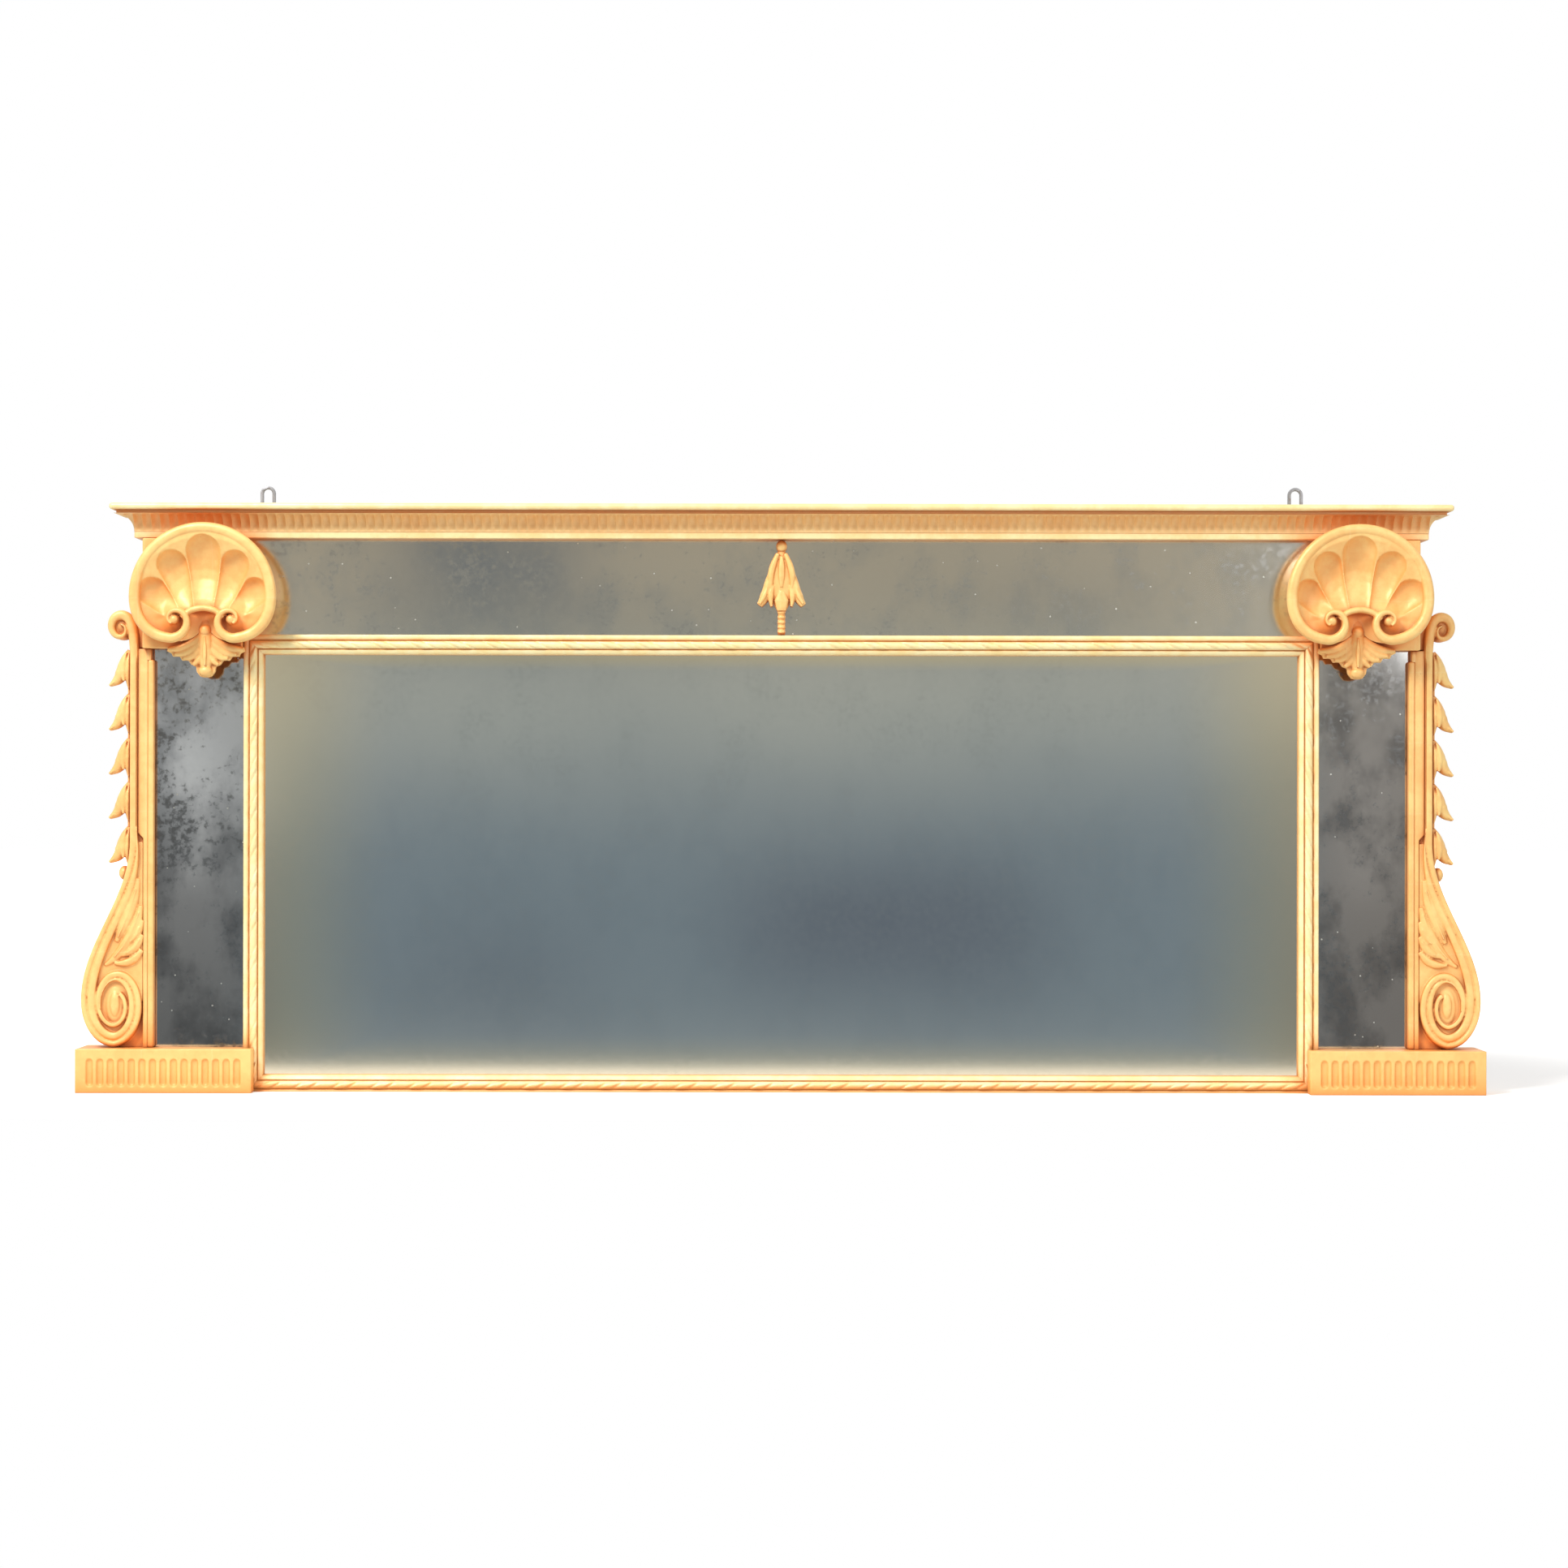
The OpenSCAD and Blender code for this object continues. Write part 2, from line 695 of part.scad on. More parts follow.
module console_border() {
    share = 1 - step_in / scroll_half_w;
    inner = 1 - border_w / scroll_half_w;
    z_end = z_top_scroll - border_end;
    ribbon(
        concat([[x_edge - step_in, z_end]], sweep_pts(step_in, z_shaft, z_scroll + scroll_lap),
               scroll_pts(0, eye_turn, share, spiral_steps)),
        concat([[x_edge - border_w, z_end]], sweep_pts(border_w, z_shaft, z_scroll + scroll_lap),
               scroll_pts(0, eye_turn, inner, spiral_steps)));
}

// Oval eye in the middle of the lower scroll.
eye_half_w = 7;
eye_half_h = 13;

module scroll_eye() {
    polygon([for (i = [0 : 2 * curve_steps - 1]) let (a = i * 180 / curve_steps)
        [x_scroll + eye_half_w * cos(a), z_scroll + eye_half_h * sin(a)]]);
}

// Leaf that fills the hollow above the lower scroll: a pod, a curled lobe and its stalk,
// across from the inner edge of the console and down from the foot of the shaft.
leaf_outline = [[4, -12], [12, -20], [18, -64], [33, -92], [39, -112], [25, -116], [5, -134], [2, -92]];

// A second line follows the border, as far up as the sweep leaves room for it.
line_gap = 5;
line_w = 3;
line_drop = 50;
flat_relief = border_relief / 2;
scroll_step = 3;
top_scroll_turn = 350;
top_ribbon_turn = 300;

module console(side) {
    line = border_w + line_gap;
    relief = [t_console - cut, t_border];
    scroll_t = t_border - scroll_step;
    color(gilt) on_side(side) union() {
        from_front([t_face, t_console]) console_front();
        from_front([console_back_t, t_face + cut]) console_back();
        from_front(relief) console_border();
        from_front([t_console - cut, t_console + flat_relief])
            ribbon(sweep_pts(line, z_shaft - line_drop, z_scroll + scroll_lap),
                   sweep_pts(line + line_w, z_shaft - line_drop, z_scroll + scroll_lap));
        from_front(relief) scroll_eye();
        from_front([t_console - cut, t_border - 1]) polygon(moved(leaf_outline, [x_leaf_in, z_shaft]));
        from_front([t_face + cut, scroll_t]) polygon(top_scroll_pts(0, top_scroll_turn, 1));
        from_front([scroll_t - cut, t_border])
            ribbon(top_scroll_pts(8, top_ribbon_turn, 0.95), top_scroll_pts(8, top_ribbon_turn, 0.62));
        intersection() {
            from_front([console_back_t, t_face + 2 * cut])
                polygon(top_scroll_pts(0, top_scroll_turn, 0.94));
            slab([x_edge + seat_gap, x_sweep], [z_frieze - plinth_h, z_fillet], [0, t_front]);
        }
    }
}

// Husks hang in a chain down the outer edge of the console and end in a bud.
husk_count = 5;
husk_t = 30;
husk_half_t = 11;
husk_l = 40;
husk_neck_r = 3;
husk_joint = 1;
husk_gap = 5;
bud_r = 9;
z_first_husk = z_top_scroll - top_scroll_half_h - husk_gap;

// Section of a husk: its neck, its swelling side, its lip and the stem inside it.
module husk_section() {
    stem = husk_pitch - husk_joint;
    polygon([[0, 0], [husk_neck_r, 0], [9, -9], [13, -16], [14.5, -27], [18, -33],
             [husk_r, -husk_l], [husk_r - 3, -husk_l - 2], [10, 4 - husk_l],
             [husk_neck_r, -stem], [0, -stem]]);
}

module husk(z) {
    intersection() {
        translate([x_edge, back_y - husk_t, z]) rotate_extrude($fn = smooth) husk_section();
        slab([x_edge, x_edge + husk_r + cut], [z - husk_pitch, z + cut],
             [husk_t - husk_half_t, husk_t + husk_half_t]);
    }
}

module husks(side) {
    z_bud = z_first_husk - husk_count * husk_pitch - husk_gap;
    color(gilt_pale) on_side(side) difference() {
        union() {
            for (i = [0 : husk_count - 1]) husk(z_first_husk - i * husk_pitch);
            translate([sweep_x(z_bud), back_y - husk_t, z_bud]) sphere(bud_r, $fn = smooth);
        }
        from_front([0, t_front]) polygon(concat(sweep_pts(0), [[x_band, z_scroll], [x_band, z_shaft]]));
        slab([x_band, x_edge], [z_scroll, z_top_scroll], [0, t_front]);
    }
}

// ---------------------------------------------------------------- frieze drop

drop_strip_t = 4;
drop_stem_w = 10;
drop_leaf_t = 9;
drop_leaf_h = 53;
drop_leaf_drop = 20;
drop_bead_r = 7;
drop_bead_rise = 10;
stem_beads = 5;
stem_bead_r = 4.5;
stem_bead_pitch = 6;

// Right half of the bell leaf, across and up from its tips.
drop_leaf_half = [[5, drop_leaf_h], [9, drop_leaf_h - 10], [12, drop_leaf_h - 24], [15, 14], [25, 0],
                  [11, 2], [6, -4]];
drop_leaf_notch = 4;

module leaf_drop() {
    z_tips = z_fillet - drop_leaf_drop - drop_leaf_h;
    t_strip = t_face + drop_strip_t;
    color(gilt) union() {
        slab([-drop_stem_w / 2, drop_stem_w / 2], [z_frieze, z_fillet], [t_face, t_strip]);
        from_front([t_strip - cut, t_face + drop_leaf_t + cut])
            polygon(moved(both_halves(drop_leaf_half, [0, drop_leaf_notch]), [0, z_tips]));
        translate([0, back_y - t_strip - drop_bead_r / 2, z_fillet - drop_bead_rise])
            sphere(drop_bead_r, $fn = smooth);
        for (i = [0 : stem_beads - 1])
            translate([0, back_y - t_strip, z_frieze + stem_bead_r + i * stem_bead_pitch])
                sphere(stem_bead_r, $fn = smooth);
    }
}

// ---------------------------------------------------------------- plinths

x_plinth_out = x_sweep + 1;
x_plinth_in = x_plinth_out - plinth_w;
flute_count = floor((plinth_w - 2 * flute_margin - 2 * flute_r) / flute_pitch) + 1;

module flute(x) {
    z = [flute_margin + flute_r, plinth_h - flute_margin - flute_r - 3];
    t = t_plinth + flute_r * 0.25;
    bar_up(x, t, z, flute_r);
    for (end = z) translate([x, back_y - t, end]) sphere(flute_r, $fn = smooth);
}

module plinth(side) {
    middle = (x_plinth_in + x_plinth_out) / 2;
    color(gilt) on_side(side) difference() {
        run_up([0, plinth_h]) polygon([
            [x_plinth_in, t_mould], [x_plinth_in, t_plinth], [x_plinth_out, t_plinth], [x_plinth_out, 0],
            [x_edge, 0], [x_edge, t_face], [x_frame, t_face], [x_frame, t_mould]]);
        for (i = [0 : flute_count - 1]) flute(middle + (i - (flute_count - 1) / 2) * flute_pitch);
    }
}

// ---------------------------------------------------------------- mirror plates and what holds them

// Openings in the carcass as [across, height]; each plate is its opening less the gap.
main_opening = [[-x_muntin_in, x_muntin_in], [z_bottom_rail, z_rail_bottom]];
side_opening = [[x_muntin_out, x_stile_in], [z_side_rail, z_rail_bottom]];
frieze_opening = [[-x_ground_in, x_ground_in], [z_rail_top, z_top_rail]];

module plate(opening) {
    x = opening[0];
    z = opening[1];
    color(silvered) slab([x[0] + plate_gap, x[1] - plate_gap], [z[0] + plate_gap, z[1] - plate_gap],
                         [t_glass, t_face]);
}

module mirror_plate_frieze(side) {
    x = frieze_opening[0];
    z = frieze_opening[1];
    color(silvered) on_side(side) slab([plate_joint / 2, x[1] - plate_gap],
        [z[0] + plate_gap, z[1] - plate_gap], [t_glass, t_face]);
}

// Pine strips behind each plate hold it against the mouldings.
block_w = 8;

module plate_blocks(opening) {
    x = opening[0];
    z = opening[1];
    t = [t_back, t_glass];
    color(pine) {
        slab([x[0], x[1]], [z[0], z[0] + block_w], t);
        slab([x[0], x[1]], [z[1] - block_w, z[1]], t);
        slab([x[0], x[0] + block_w], [z[0] + block_w, z[1] - block_w], t);
        slab([x[1] - block_w, x[1]], [z[0] + block_w, z[1] - block_w], t);
    }
}

// Four backboards lie across the carcass, one above the other.
back_lap = 10;
back_x = x_edge - back_lap;
back_z0 = z_bottom_rail - 10;
back_z3 = z_rail_top - frieze_rail_h / 2;
back_step = (back_z3 - back_z0) / 3;
back_heights = [[back_z0, back_z0 + back_step], [back_z0 + back_step, back_z0 + 2 * back_step],
                [back_z0 + 2 * back_step, back_z3], [back_z3, z_top_rail]];
back_screw_inset = 45;

module at_back_screws(board) {
    z = back_heights[board];
    muntin_x = (x_muntin_in + x_muntin_out) / 2;
    stile_x = (x_stile_in + back_x) / 2;
    inner_x = board < 3 ? muntin_x : x_ground_in + 10;
    outer_x = board < 3 ? stile_x : x_block - 14;
    for (x = [inner_x, outer_x], height = [z[0] + back_screw_inset, z[1] - back_screw_inset])
        translate([x, back_y, height]) rotate([90, 0, 0]) children();
}

back_screw_l = 19;
back_head_r = 3.2;

module back_screw(gap) {
    cylinder(r = back_screw_r + gap, h = back_screw_l + gap, $fn = smooth);
    cylinder(r1 = back_head_r + gap, r2 = back_screw_r + gap, h = back_head_r - back_screw_r, $fn = smooth);
}

module back_screw_holes() {
    for (board = [0 : 3]) at_back_screws(board) back_screw(dowel_gap);
}

module backboard(board) {
    z = back_heights[board];
    outer = board < 3 ? back_x : x_block - 4;
    color(pine) difference() {
        slab([-outer, outer], [z[0] + board_gap / 2, z[1] - board_gap / 2], [0, t_back]);
        for (side = [left, right]) on_side(side) at_back_screws(board) back_screw(dowel_gap);
    }
}

module backboard_screws() {
    color(steel) for (side = [left, right], board = [0 : 3])
        on_side(side) at_back_screws(board) back_screw(0);
}

// ---------------------------------------------------------------- hangers

hanger_x = x_edge - hanger_inset;
flange_w = 56;
flange_h = 18;
hanger_screw_x = 19;
hanger_screw_l = 20;
hanger_head_r = 4;
z_flange = z_top_rail + 2;
z_eye = z_top + hanger_rise - hanger_eye_w / 2;
slot_drop = 10;

module at_hanger_screws() {
    for (side = [left, right], x = [-hanger_screw_x, hanger_screw_x])
        translate([side * hanger_x + x, back_y, z_flange + flange_h / 2]) rotate([90, 0, 0]) children();
}

module hanger_screw(gap) {
    cylinder(r = hanger_screw_r + gap, h = hanger_screw_l + gap, $fn = smooth);
    cylinder(r1 = hanger_head_r + gap, r2 = hanger_screw_r + gap, h = hanger_head_r - hanger_screw_r,
             $fn = smooth);
}

module hanger_screw_holes() {
    at_hanger_screws() hanger_screw(dowel_gap);
}

module hanger(side) {
    eye_r = hanger_eye_w / 2;
    slot_r = hanger_slot_w / 2;
    color(steel) on_side(side) difference() {
        union() {
            slab([hanger_x - flange_w / 2, hanger_x + flange_w / 2], [z_flange, z_flange + flange_h],
                 [0, hanger_t]);
            slab([hanger_x - eye_r, hanger_x + eye_r], [z_flange + flange_h - cut, z_eye], [0, hanger_t]);
            bar_forward(hanger_x, z_eye, [0, hanger_t], eye_r);
        }
        bar_forward(hanger_x, z_eye, [-cut, hanger_t + cut], slot_r);
        slab([hanger_x - slot_r, hanger_x + slot_r], [z_eye - slot_drop, z_eye], [-cut, hanger_t + cut]);
        bar_forward(hanger_x, z_eye - slot_drop, [-cut, hanger_t + cut], slot_r);
        at_hanger_screws() hanger_screw(dowel_gap);
    }
}

module hanger_screws() {
    color(steel) at_hanger_screws() hanger_screw(0);
}

// ---------------------------------------------------------------- what is drawn

stile(left);  // stile_left
stile(right);  // stile_right
bottom_rail();
frieze_rail();
top_rail();
muntin(left);  // muntin_left
muntin(right);  // muntin_right
side_rail(left);  // side_rail_left
side_rail(right);  // side_rail_right
corner_ground(left);  // corner_ground_left
corner_ground(right);  // corner_ground_right
dowels();
frame_rail_length(z_head, true);  // frame_moulding_top
frame_rail_length(z_sill, false);  // frame_moulding_bottom
frame_side_length(left);  // frame_moulding_left
frame_side_length(right);  // frame_moulding_right
stile_moulding(left);  // stile_moulding_left
stile_moulding(right);  // stile_moulding_right
cornice_board();
cornice_cove_front();
cornice_cove_return(left);  // cornice_cove_left
cornice_cove_return(right);  // cornice_cove_right
cornice_fillet_front();
cornice_fillet_return(left);  // cornice_fillet_left
cornice_fillet_return(right);  // cornice_fillet_right
corner_block(left);  // corner_block_left
corner_block(right);  // corner_block_right
shell(left);  // shell_left
shell(right);  // shell_right
shell_pendant(left);  // shell_pendant_left
shell_pendant(right);  // shell_pendant_right
console(left);  // console_left
console(right);  // console_right
husks(left);  // husks_left
husks(right);  // husks_right
leaf_drop();
plinth(left);  // plinth_left
plinth(right);  // plinth_right
plate(main_opening);  // mirror_plate_main
on_side(left) plate(side_opening);  // mirror_plate_side_left
plate(side_opening);  // mirror_plate_side_right
mirror_plate_frieze(left);  // mirror_plate_frieze_left
mirror_plate_frieze(right);  // mirror_plate_frieze_right
plate_blocks(main_opening);  // plate_blocks_main
on_side(left) plate_blocks(side_opening);  // plate_blocks_side_left
plate_blocks(side_opening);  // plate_blocks_side_right
plate_blocks(frieze_opening);  // plate_blocks_frieze
backboard(0);  // backboard_bottom
backboard(1);  // backboard_lower
backboard(2);  // backboard_upper
backboard(3);  // backboard_frieze
hanger(left);  // hanger_left
hanger(right);  // hanger_right
hanger_screws();
backboard_screws();
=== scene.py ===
# %% [markdown]
# # A giltwood overmantel mirror
#
# This is a chimney glass: a wide, low mirror that stands on a mantelpiece. A pine carcass carries
# five old mirror plates and a dress of gilded carving: a fluted cornice, two shells, two scrolled
# consoles with chains of husks, a leaf drop and two fluted plinths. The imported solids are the
# frame, and they say where everything is. The carved parts are modelled again here with their
# detail, and every part gets its finish.

import math

import bpy
import numpy as np
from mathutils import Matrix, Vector


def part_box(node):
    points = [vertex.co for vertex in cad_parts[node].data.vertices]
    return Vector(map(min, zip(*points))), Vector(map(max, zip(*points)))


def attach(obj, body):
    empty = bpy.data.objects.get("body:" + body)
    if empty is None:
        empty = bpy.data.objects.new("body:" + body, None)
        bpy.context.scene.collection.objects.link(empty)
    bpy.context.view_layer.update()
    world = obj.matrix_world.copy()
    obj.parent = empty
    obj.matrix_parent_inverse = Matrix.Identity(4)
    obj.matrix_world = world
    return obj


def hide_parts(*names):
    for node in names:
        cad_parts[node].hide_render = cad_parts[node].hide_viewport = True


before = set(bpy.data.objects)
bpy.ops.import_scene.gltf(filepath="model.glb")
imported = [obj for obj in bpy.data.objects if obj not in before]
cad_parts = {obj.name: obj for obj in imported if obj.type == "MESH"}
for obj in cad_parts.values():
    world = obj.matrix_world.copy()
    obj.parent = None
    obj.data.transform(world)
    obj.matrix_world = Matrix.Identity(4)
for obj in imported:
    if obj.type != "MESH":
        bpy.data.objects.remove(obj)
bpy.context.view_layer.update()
print("solids in the frame:", len(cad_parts))

# %% [markdown]
# ## Measures
#
# A carver works in millimetres, so this script does too, and one factor turns them into Blender's
# metres. The front view is drawn with x to the right and z up. Depth is written as t, the
# distance forward from the back plane. All the main lines are read from the solids, so the
# carving follows the frame if it changes.

# %% Main lines of the object, read from the frame
MM = 0.001
RIGHT = 1
LEFT = -1


def low(node):
    """The lowest corner of a solid as x, y and z in millimetres."""
    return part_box(node)[0] / MM


def high(node):
    """The highest corner of a solid as x, y and z in millimetres."""
    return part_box(node)[1] / MM


y_back = high("backboard_lower").y
x_sight = low("frame_moulding_right").x
x_side = low("stile_moulding_right").x
x_band = high("stile_moulding_right").x
x_edge = high("stile_right").x
x_block = high("corner_block_right").x
x_fillet = high("cornice_fillet_right").x
z_frieze = high("frame_moulding_top").z
z_sill = high("frame_moulding_bottom").z
z_head = low("frame_moulding_top").z
z_plinth = high("plinth_right").z
z_block = low("corner_block_right").z
z_fillet = high("corner_block_right").z
z_cove = low("cornice_cove_front").z
z_board = high("cornice_cove_front").z
t_face = y_back - low("stile_right").y
t_mould = y_back - low("frame_moulding_top").y
t_block = y_back - low("corner_block_right").y
t_console = y_back - low("console_right").y
print(f"the big plate shows {2 * x_sight:.0f} by {z_head - z_sill:.0f} mm")

# %% [markdown]
# ## Camera
#
# The photograph was taken square on, from three and a half metres, with the lens a little above
# the middle of the big plate. The camera is placed from those readings: the size of one pixel in
# the plane of the mouldings gives the focal length, and a very small shift puts the middle of the
# object where it is in the picture.

# %% Camera
picture_px = 1932
pixel_mm = 0.9
eye_from_back = 3500
eye_height = 326.5
eye_to_mouldings = 3464
middle_px = 962.5
horizon_px = 983
sensor = 36
tilt = math.radians(-0.1)

bpy.ops.object.camera_add(
    location=(0, (y_back - eye_from_back) * MM, eye_height * MM), rotation=(math.pi / 2, tilt, 0)
)
camera = bpy.context.object
camera.data.sensor_width = sensor
camera.data.lens = sensor * eye_to_mouldings / (picture_px * pixel_mm)
camera.data.shift_x = (picture_px / 2 - middle_px) / picture_px
camera.data.shift_y = (horizon_px - picture_px / 2) / picture_px
bpy.context.scene.camera = camera
bpy.context.scene.view_settings.view_transform = "Standard"
print(f"lens {camera.data.lens:.1f} mm")

# %% [markdown]
# ## Painting with numbers
#
# A procedural finish is a formula for colour, roughness and height at each point. Nodes are
# clumsy to read, so one small class wraps a socket and lets Python arithmetic make the Math
# nodes. Its method `node` makes every other kind of node. Each finish below is then a few lines
# of ordinary expressions.


# %% The Paint class
class Paint:
    """One output socket, on which arithmetic adds nodes to its tree."""

    def __init__(self, tree, socket):
        self.tree = tree
        self.socket = socket

    def node(self, kind, settings=None, inputs=None, out=0):
        """Adds any shader node, sets it up, fills its sockets and returns one output."""
        made = self.tree.nodes.new("ShaderNode" + kind)
        for name, value in (settings or {}).items():
            setattr(made, name, value)
        for name, value in (inputs or {}).items():
            if isinstance(value, Paint):
                value.into(made.inputs[name])
            else:
                made.inputs[name].default_value = value
        return Paint(self.tree, made.outputs[out])

    def into(self, socket):
        """Joins this output to a socket."""
        self.tree.links.new(self.socket, socket)

    def math(self, operation, other=0.0):
        """A Math node on this output and another one, or a number."""
        return self.node("Math", {"operation": operation}, {0: self, 1: other})

    def __add__(self, other):
        return self.math("ADD", other)

    def __sub__(self, other):
        return self.math("SUBTRACT", other)

    def __rsub__(self, other):
        return self.node("Math", {"operation": "SUBTRACT"}, {0: other, 1: self})

    def __mul__(self, other):
        return self.math("MULTIPLY", other)

    def __abs__(self):
        return self.math("ABSOLUTE")

    __radd__ = __add__
    __rmul__ = __mul__


# %% Small helpers for finishes
def rgb(red, green, blue):
    """A colour as a paint chart gives it, 0 to 255, turned into the light that Blender mixes."""
    return tuple((c / 255) ** 2.2 for c in (red, green, blue)) + (1.0,)


def rise(value, start, end):
    """0 below start, 1 above end and a smooth slope between."""
    return value.node(
        "MapRange",
        {"interpolation_type": "SMOOTHSTEP"},
        {"Value": value, "From Min": start, "From Max": end},
    )


def blend(share, first, second):
    """The first colour where share is 0 and the second where it is 1."""
    return share.node("Mix", {"data_type": "RGBA"}, {0: share, 6: first, 7: second}, out=2)


def noise(at, size, detail=3.0, roughness=0.5, stretch=(1, 1, 1)):
    """Cloudy noise with patches about size millimetres across, longer where stretch is more."""
    scale = [1 / (size * MM * s) for s in stretch]
    spread = at.node("VectorMath", {"operation": "MULTIPLY"}, {0: at, 1: scale})
    inputs = {"Vector": spread, "Scale": 1.0, "Detail": detail, "Roughness": roughness}
    return at.node("TexNoise", None, inputs)


def spots(at, pitch):
    """Distance to the nearest of many scattered points, as a share of their pitch in millimetres."""
    return at.node("TexVoronoi", None, {"Vector": at, "Scale": 1 / (pitch * MM)})


def sky(at, reach, inside=False):
    """1 where the surface is open for reach millimetres and 0 in a hollow. Inside finds the edges."""
    settings = {"samples": 6, "inside": inside}
    return at.node("AmbientOcclusion", settings, {"Distance": reach * MM}, out="AO")


def ray_kind(tree, kind):
    """1 for rays of this kind, such as Camera, and 0 for all others."""
    return Paint(tree, tree.nodes.new("ShaderNodeLightPath").outputs[f"Is {kind} Ray"])


def start_finish(name, metallic, specular=0.5):
    """A new material, its shader and the point on the object, in metres."""
    finish = bpy.data.materials.new(name)
    finish.use_nodes = True
    shader = finish.node_tree.nodes["Principled BSDF"]
    shader.inputs["Metallic"].default_value = metallic
    shader.inputs["Specular IOR Level"].default_value = specular
    place = finish.node_tree.nodes.new("ShaderNodeTexCoord")
    return finish, shader, Paint(finish.node_tree, place.outputs["Object"])


def end_finish(shader, colour, roughness, height, depth):
    """Joins colour, roughness and a relief, depth millimetres high, to the shader."""
    bump = height.node("Bump", None, {"Strength": 1.0, "Distance": depth * MM, "Height": height})
    for value, socket in ((colour, "Base Color"), (roughness, "Roughness"), (bump, "Normal")):
        value.into(shader.inputs[socket])


def split(at):
    """The three parts of a point, each in millimetres."""
    return [at.node("SeparateXYZ", None, {0: at}, out=i) * (1 / MM) for i in range(3)]


# %% [markdown]
# ## Light, floor and the room in the glass
#
# A mirror shows what stands in front of it. The plain studio is white, and an old chimney glass
# in a white box would look like a hole, so a large painted wall stands behind the camera. Only
# reflections see it. It is slate grey in the middle and paler above, as a dim room is. The key
# lamp is high on the left, so the cornice shades its cove and each shell shades its own hollows.
# The floor ends a short way in front of the plinths, as a shelf does, and it turns white away
# from the object.

# %% World
white = 1.0
ambient = 0.52

world = bpy.data.worlds.new("studio")
world.use_nodes = True
bpy.context.scene.world = world
backdrop = world.node_tree.nodes["Background"]
backdrop.inputs["Color"].default_value = (1.0, 1.0, 1.0, 1.0)
seen = 0.0
for kind in ("Camera", "Glossy", "Transmission"):
    seen = ray_kind(world.node_tree, kind).math("MAXIMUM", seen)
strength = ambient + seen * (white - ambient)
strength.into(backdrop.inputs["Strength"])


# %% Lamps
def lamp(name, place, aim, size, watts, colour=(1, 1, 1)):
    """A square soft lamp at place, in metres, turned towards aim."""
    bpy.ops.object.light_add(type="AREA", location=place)
    light = bpy.context.object
    light.name = name
    light.data.size = size
    light.data.energy = watts
    light.data.color = colour
    light.rotation_euler = (Vector(aim) - Vector(place)).to_track_quat("-Z", "Y").to_euler()


lamp("key_lamp", (-1.7, -2.3, 2.9), (0, 0, 0.35), 1.0, 122, (1.0, 0.985, 0.96))
lamp("fill_lamp", (1.9, -2.8, 1.4), (0, 0, 0.3), 1.6, 24)

# %% Floor
shelf_front = -0.29
floor_size = 16.0
near_glow = 0.34
glow_from, glow_full = 0.9, 1.7

bpy.ops.mesh.primitive_plane_add(size=floor_size, location=(0, shelf_front + floor_size / 2, 0))
floor = bpy.context.object
floor.name = "floor"
bpy.ops.object.transform_apply()
floor_finish, matt, spot = start_finish("floor_white", 0.0, 0.1)
matt.inputs["Base Color"].default_value = rgb(246, 245, 243)
matt.inputs["Roughness"].default_value = 0.9
matt.inputs["Emission Color"].default_value = (1, 1, 1, 1)
away = spot.node("VectorMath", {"operation": "LENGTH"}, {0: spot}, out="Value")
lift = ray_kind(spot.tree, "Camera") * (near_glow + rise(away, glow_from, glow_full))
lift.into(matt.inputs["Emission Strength"])
floor.data.materials.append(floor_finish)

# %% The room behind the camera, which only reflections see
wall_y, wall_z = -4.0, 0.9
wall_w, wall_h = 9.0, 4.4

bpy.ops.mesh.primitive_plane_add(size=1, location=(0, wall_y, wall_z), rotation=(math.pi / 2, 0, 0))
wall = bpy.context.object
wall.name = "room_wall"
wall.scale = (wall_w, wall_h, 1)
bpy.ops.object.transform_apply()
for rays in ("camera", "diffuse", "transmission", "volume_scatter", "shadow"):
    setattr(wall, "visible_" + rays, False)
room, plain_shader, at = start_finish("room", 0.0)
room.node_tree.nodes.remove(plain_shader)
x, _, z = split(at)

# In the glass the wall looks half its size, so its marks are twice as large as they seem.
slate = rgb(124, 138, 145)
dawn = rgb(186, 187, 174)
dusk = rgb(92, 98, 110)
stone = rgb(180, 170, 150)
steel_grey = rgb(112, 118, 124)


def patch(under, tone, share, across, across_soft, up, up_soft):
    """Paints a soft-edged rectangle, given by two places across and two heights, over a colour."""
    wide = rise(x, across[0] - across_soft, across[0]) * rise(x, across[1] + across_soft, across[1])
    foot, head = rise(z, up[0] - up_soft, up[0]), rise(z, up[1] + up_soft, up[1])
    return blend(wide * foot * head * share, under, tone)


cloud = noise(at, 620, 2.0)
colour = blend(rise(z + (cloud - 0.5) * 500, 180, 700), slate, dawn)
colour = blend(rise(z, -220, -345) * 0.45, colour, dawn)
colour = patch(colour, dusk, 0.85, (60, 460), 330, (-30, 60), 190)
colour = patch(colour, dusk, 0.5, (-760, -590), 240, (-150, -80), 150)

# The frieze plate looks at the wall above the first line, and the side plates beyond the second.
frieze_line = (686, 700)
side_line = (1240, 1260)
upper = patch(stone, steel_grey, 0.85, (-910, -500), 12, (500, 1200), 40)
upper = patch(upper, steel_grey, 0.5, (480, 880), 20, (790, 850), 20)
upper = patch(upper, rgb(98, 104, 108), 0.6, (-1010, 40), 60, (600, 770), 26)
upper = patch(upper, rgb(104, 106, 106), 0.5, (250, 800), 90, (600, 765), 30)
streaks = rise(noise(at, 160, 3.0, 0.6, (3, 1, 1)), 0.42, 0.66)
upper = blend(streaks * 0.3, upper, rgb(122, 124, 120))
left_side = blend(rise(z, 240, 330), rgb(132, 133, 132), rgb(188, 190, 189))
left_side = blend(rise(z, 20, -240) * 0.8, left_side, rgb(104, 105, 104))
left_side = patch(left_side, rgb(232, 234, 232), 0.7, (-1450, -1390), 50, (200, 420), 100)
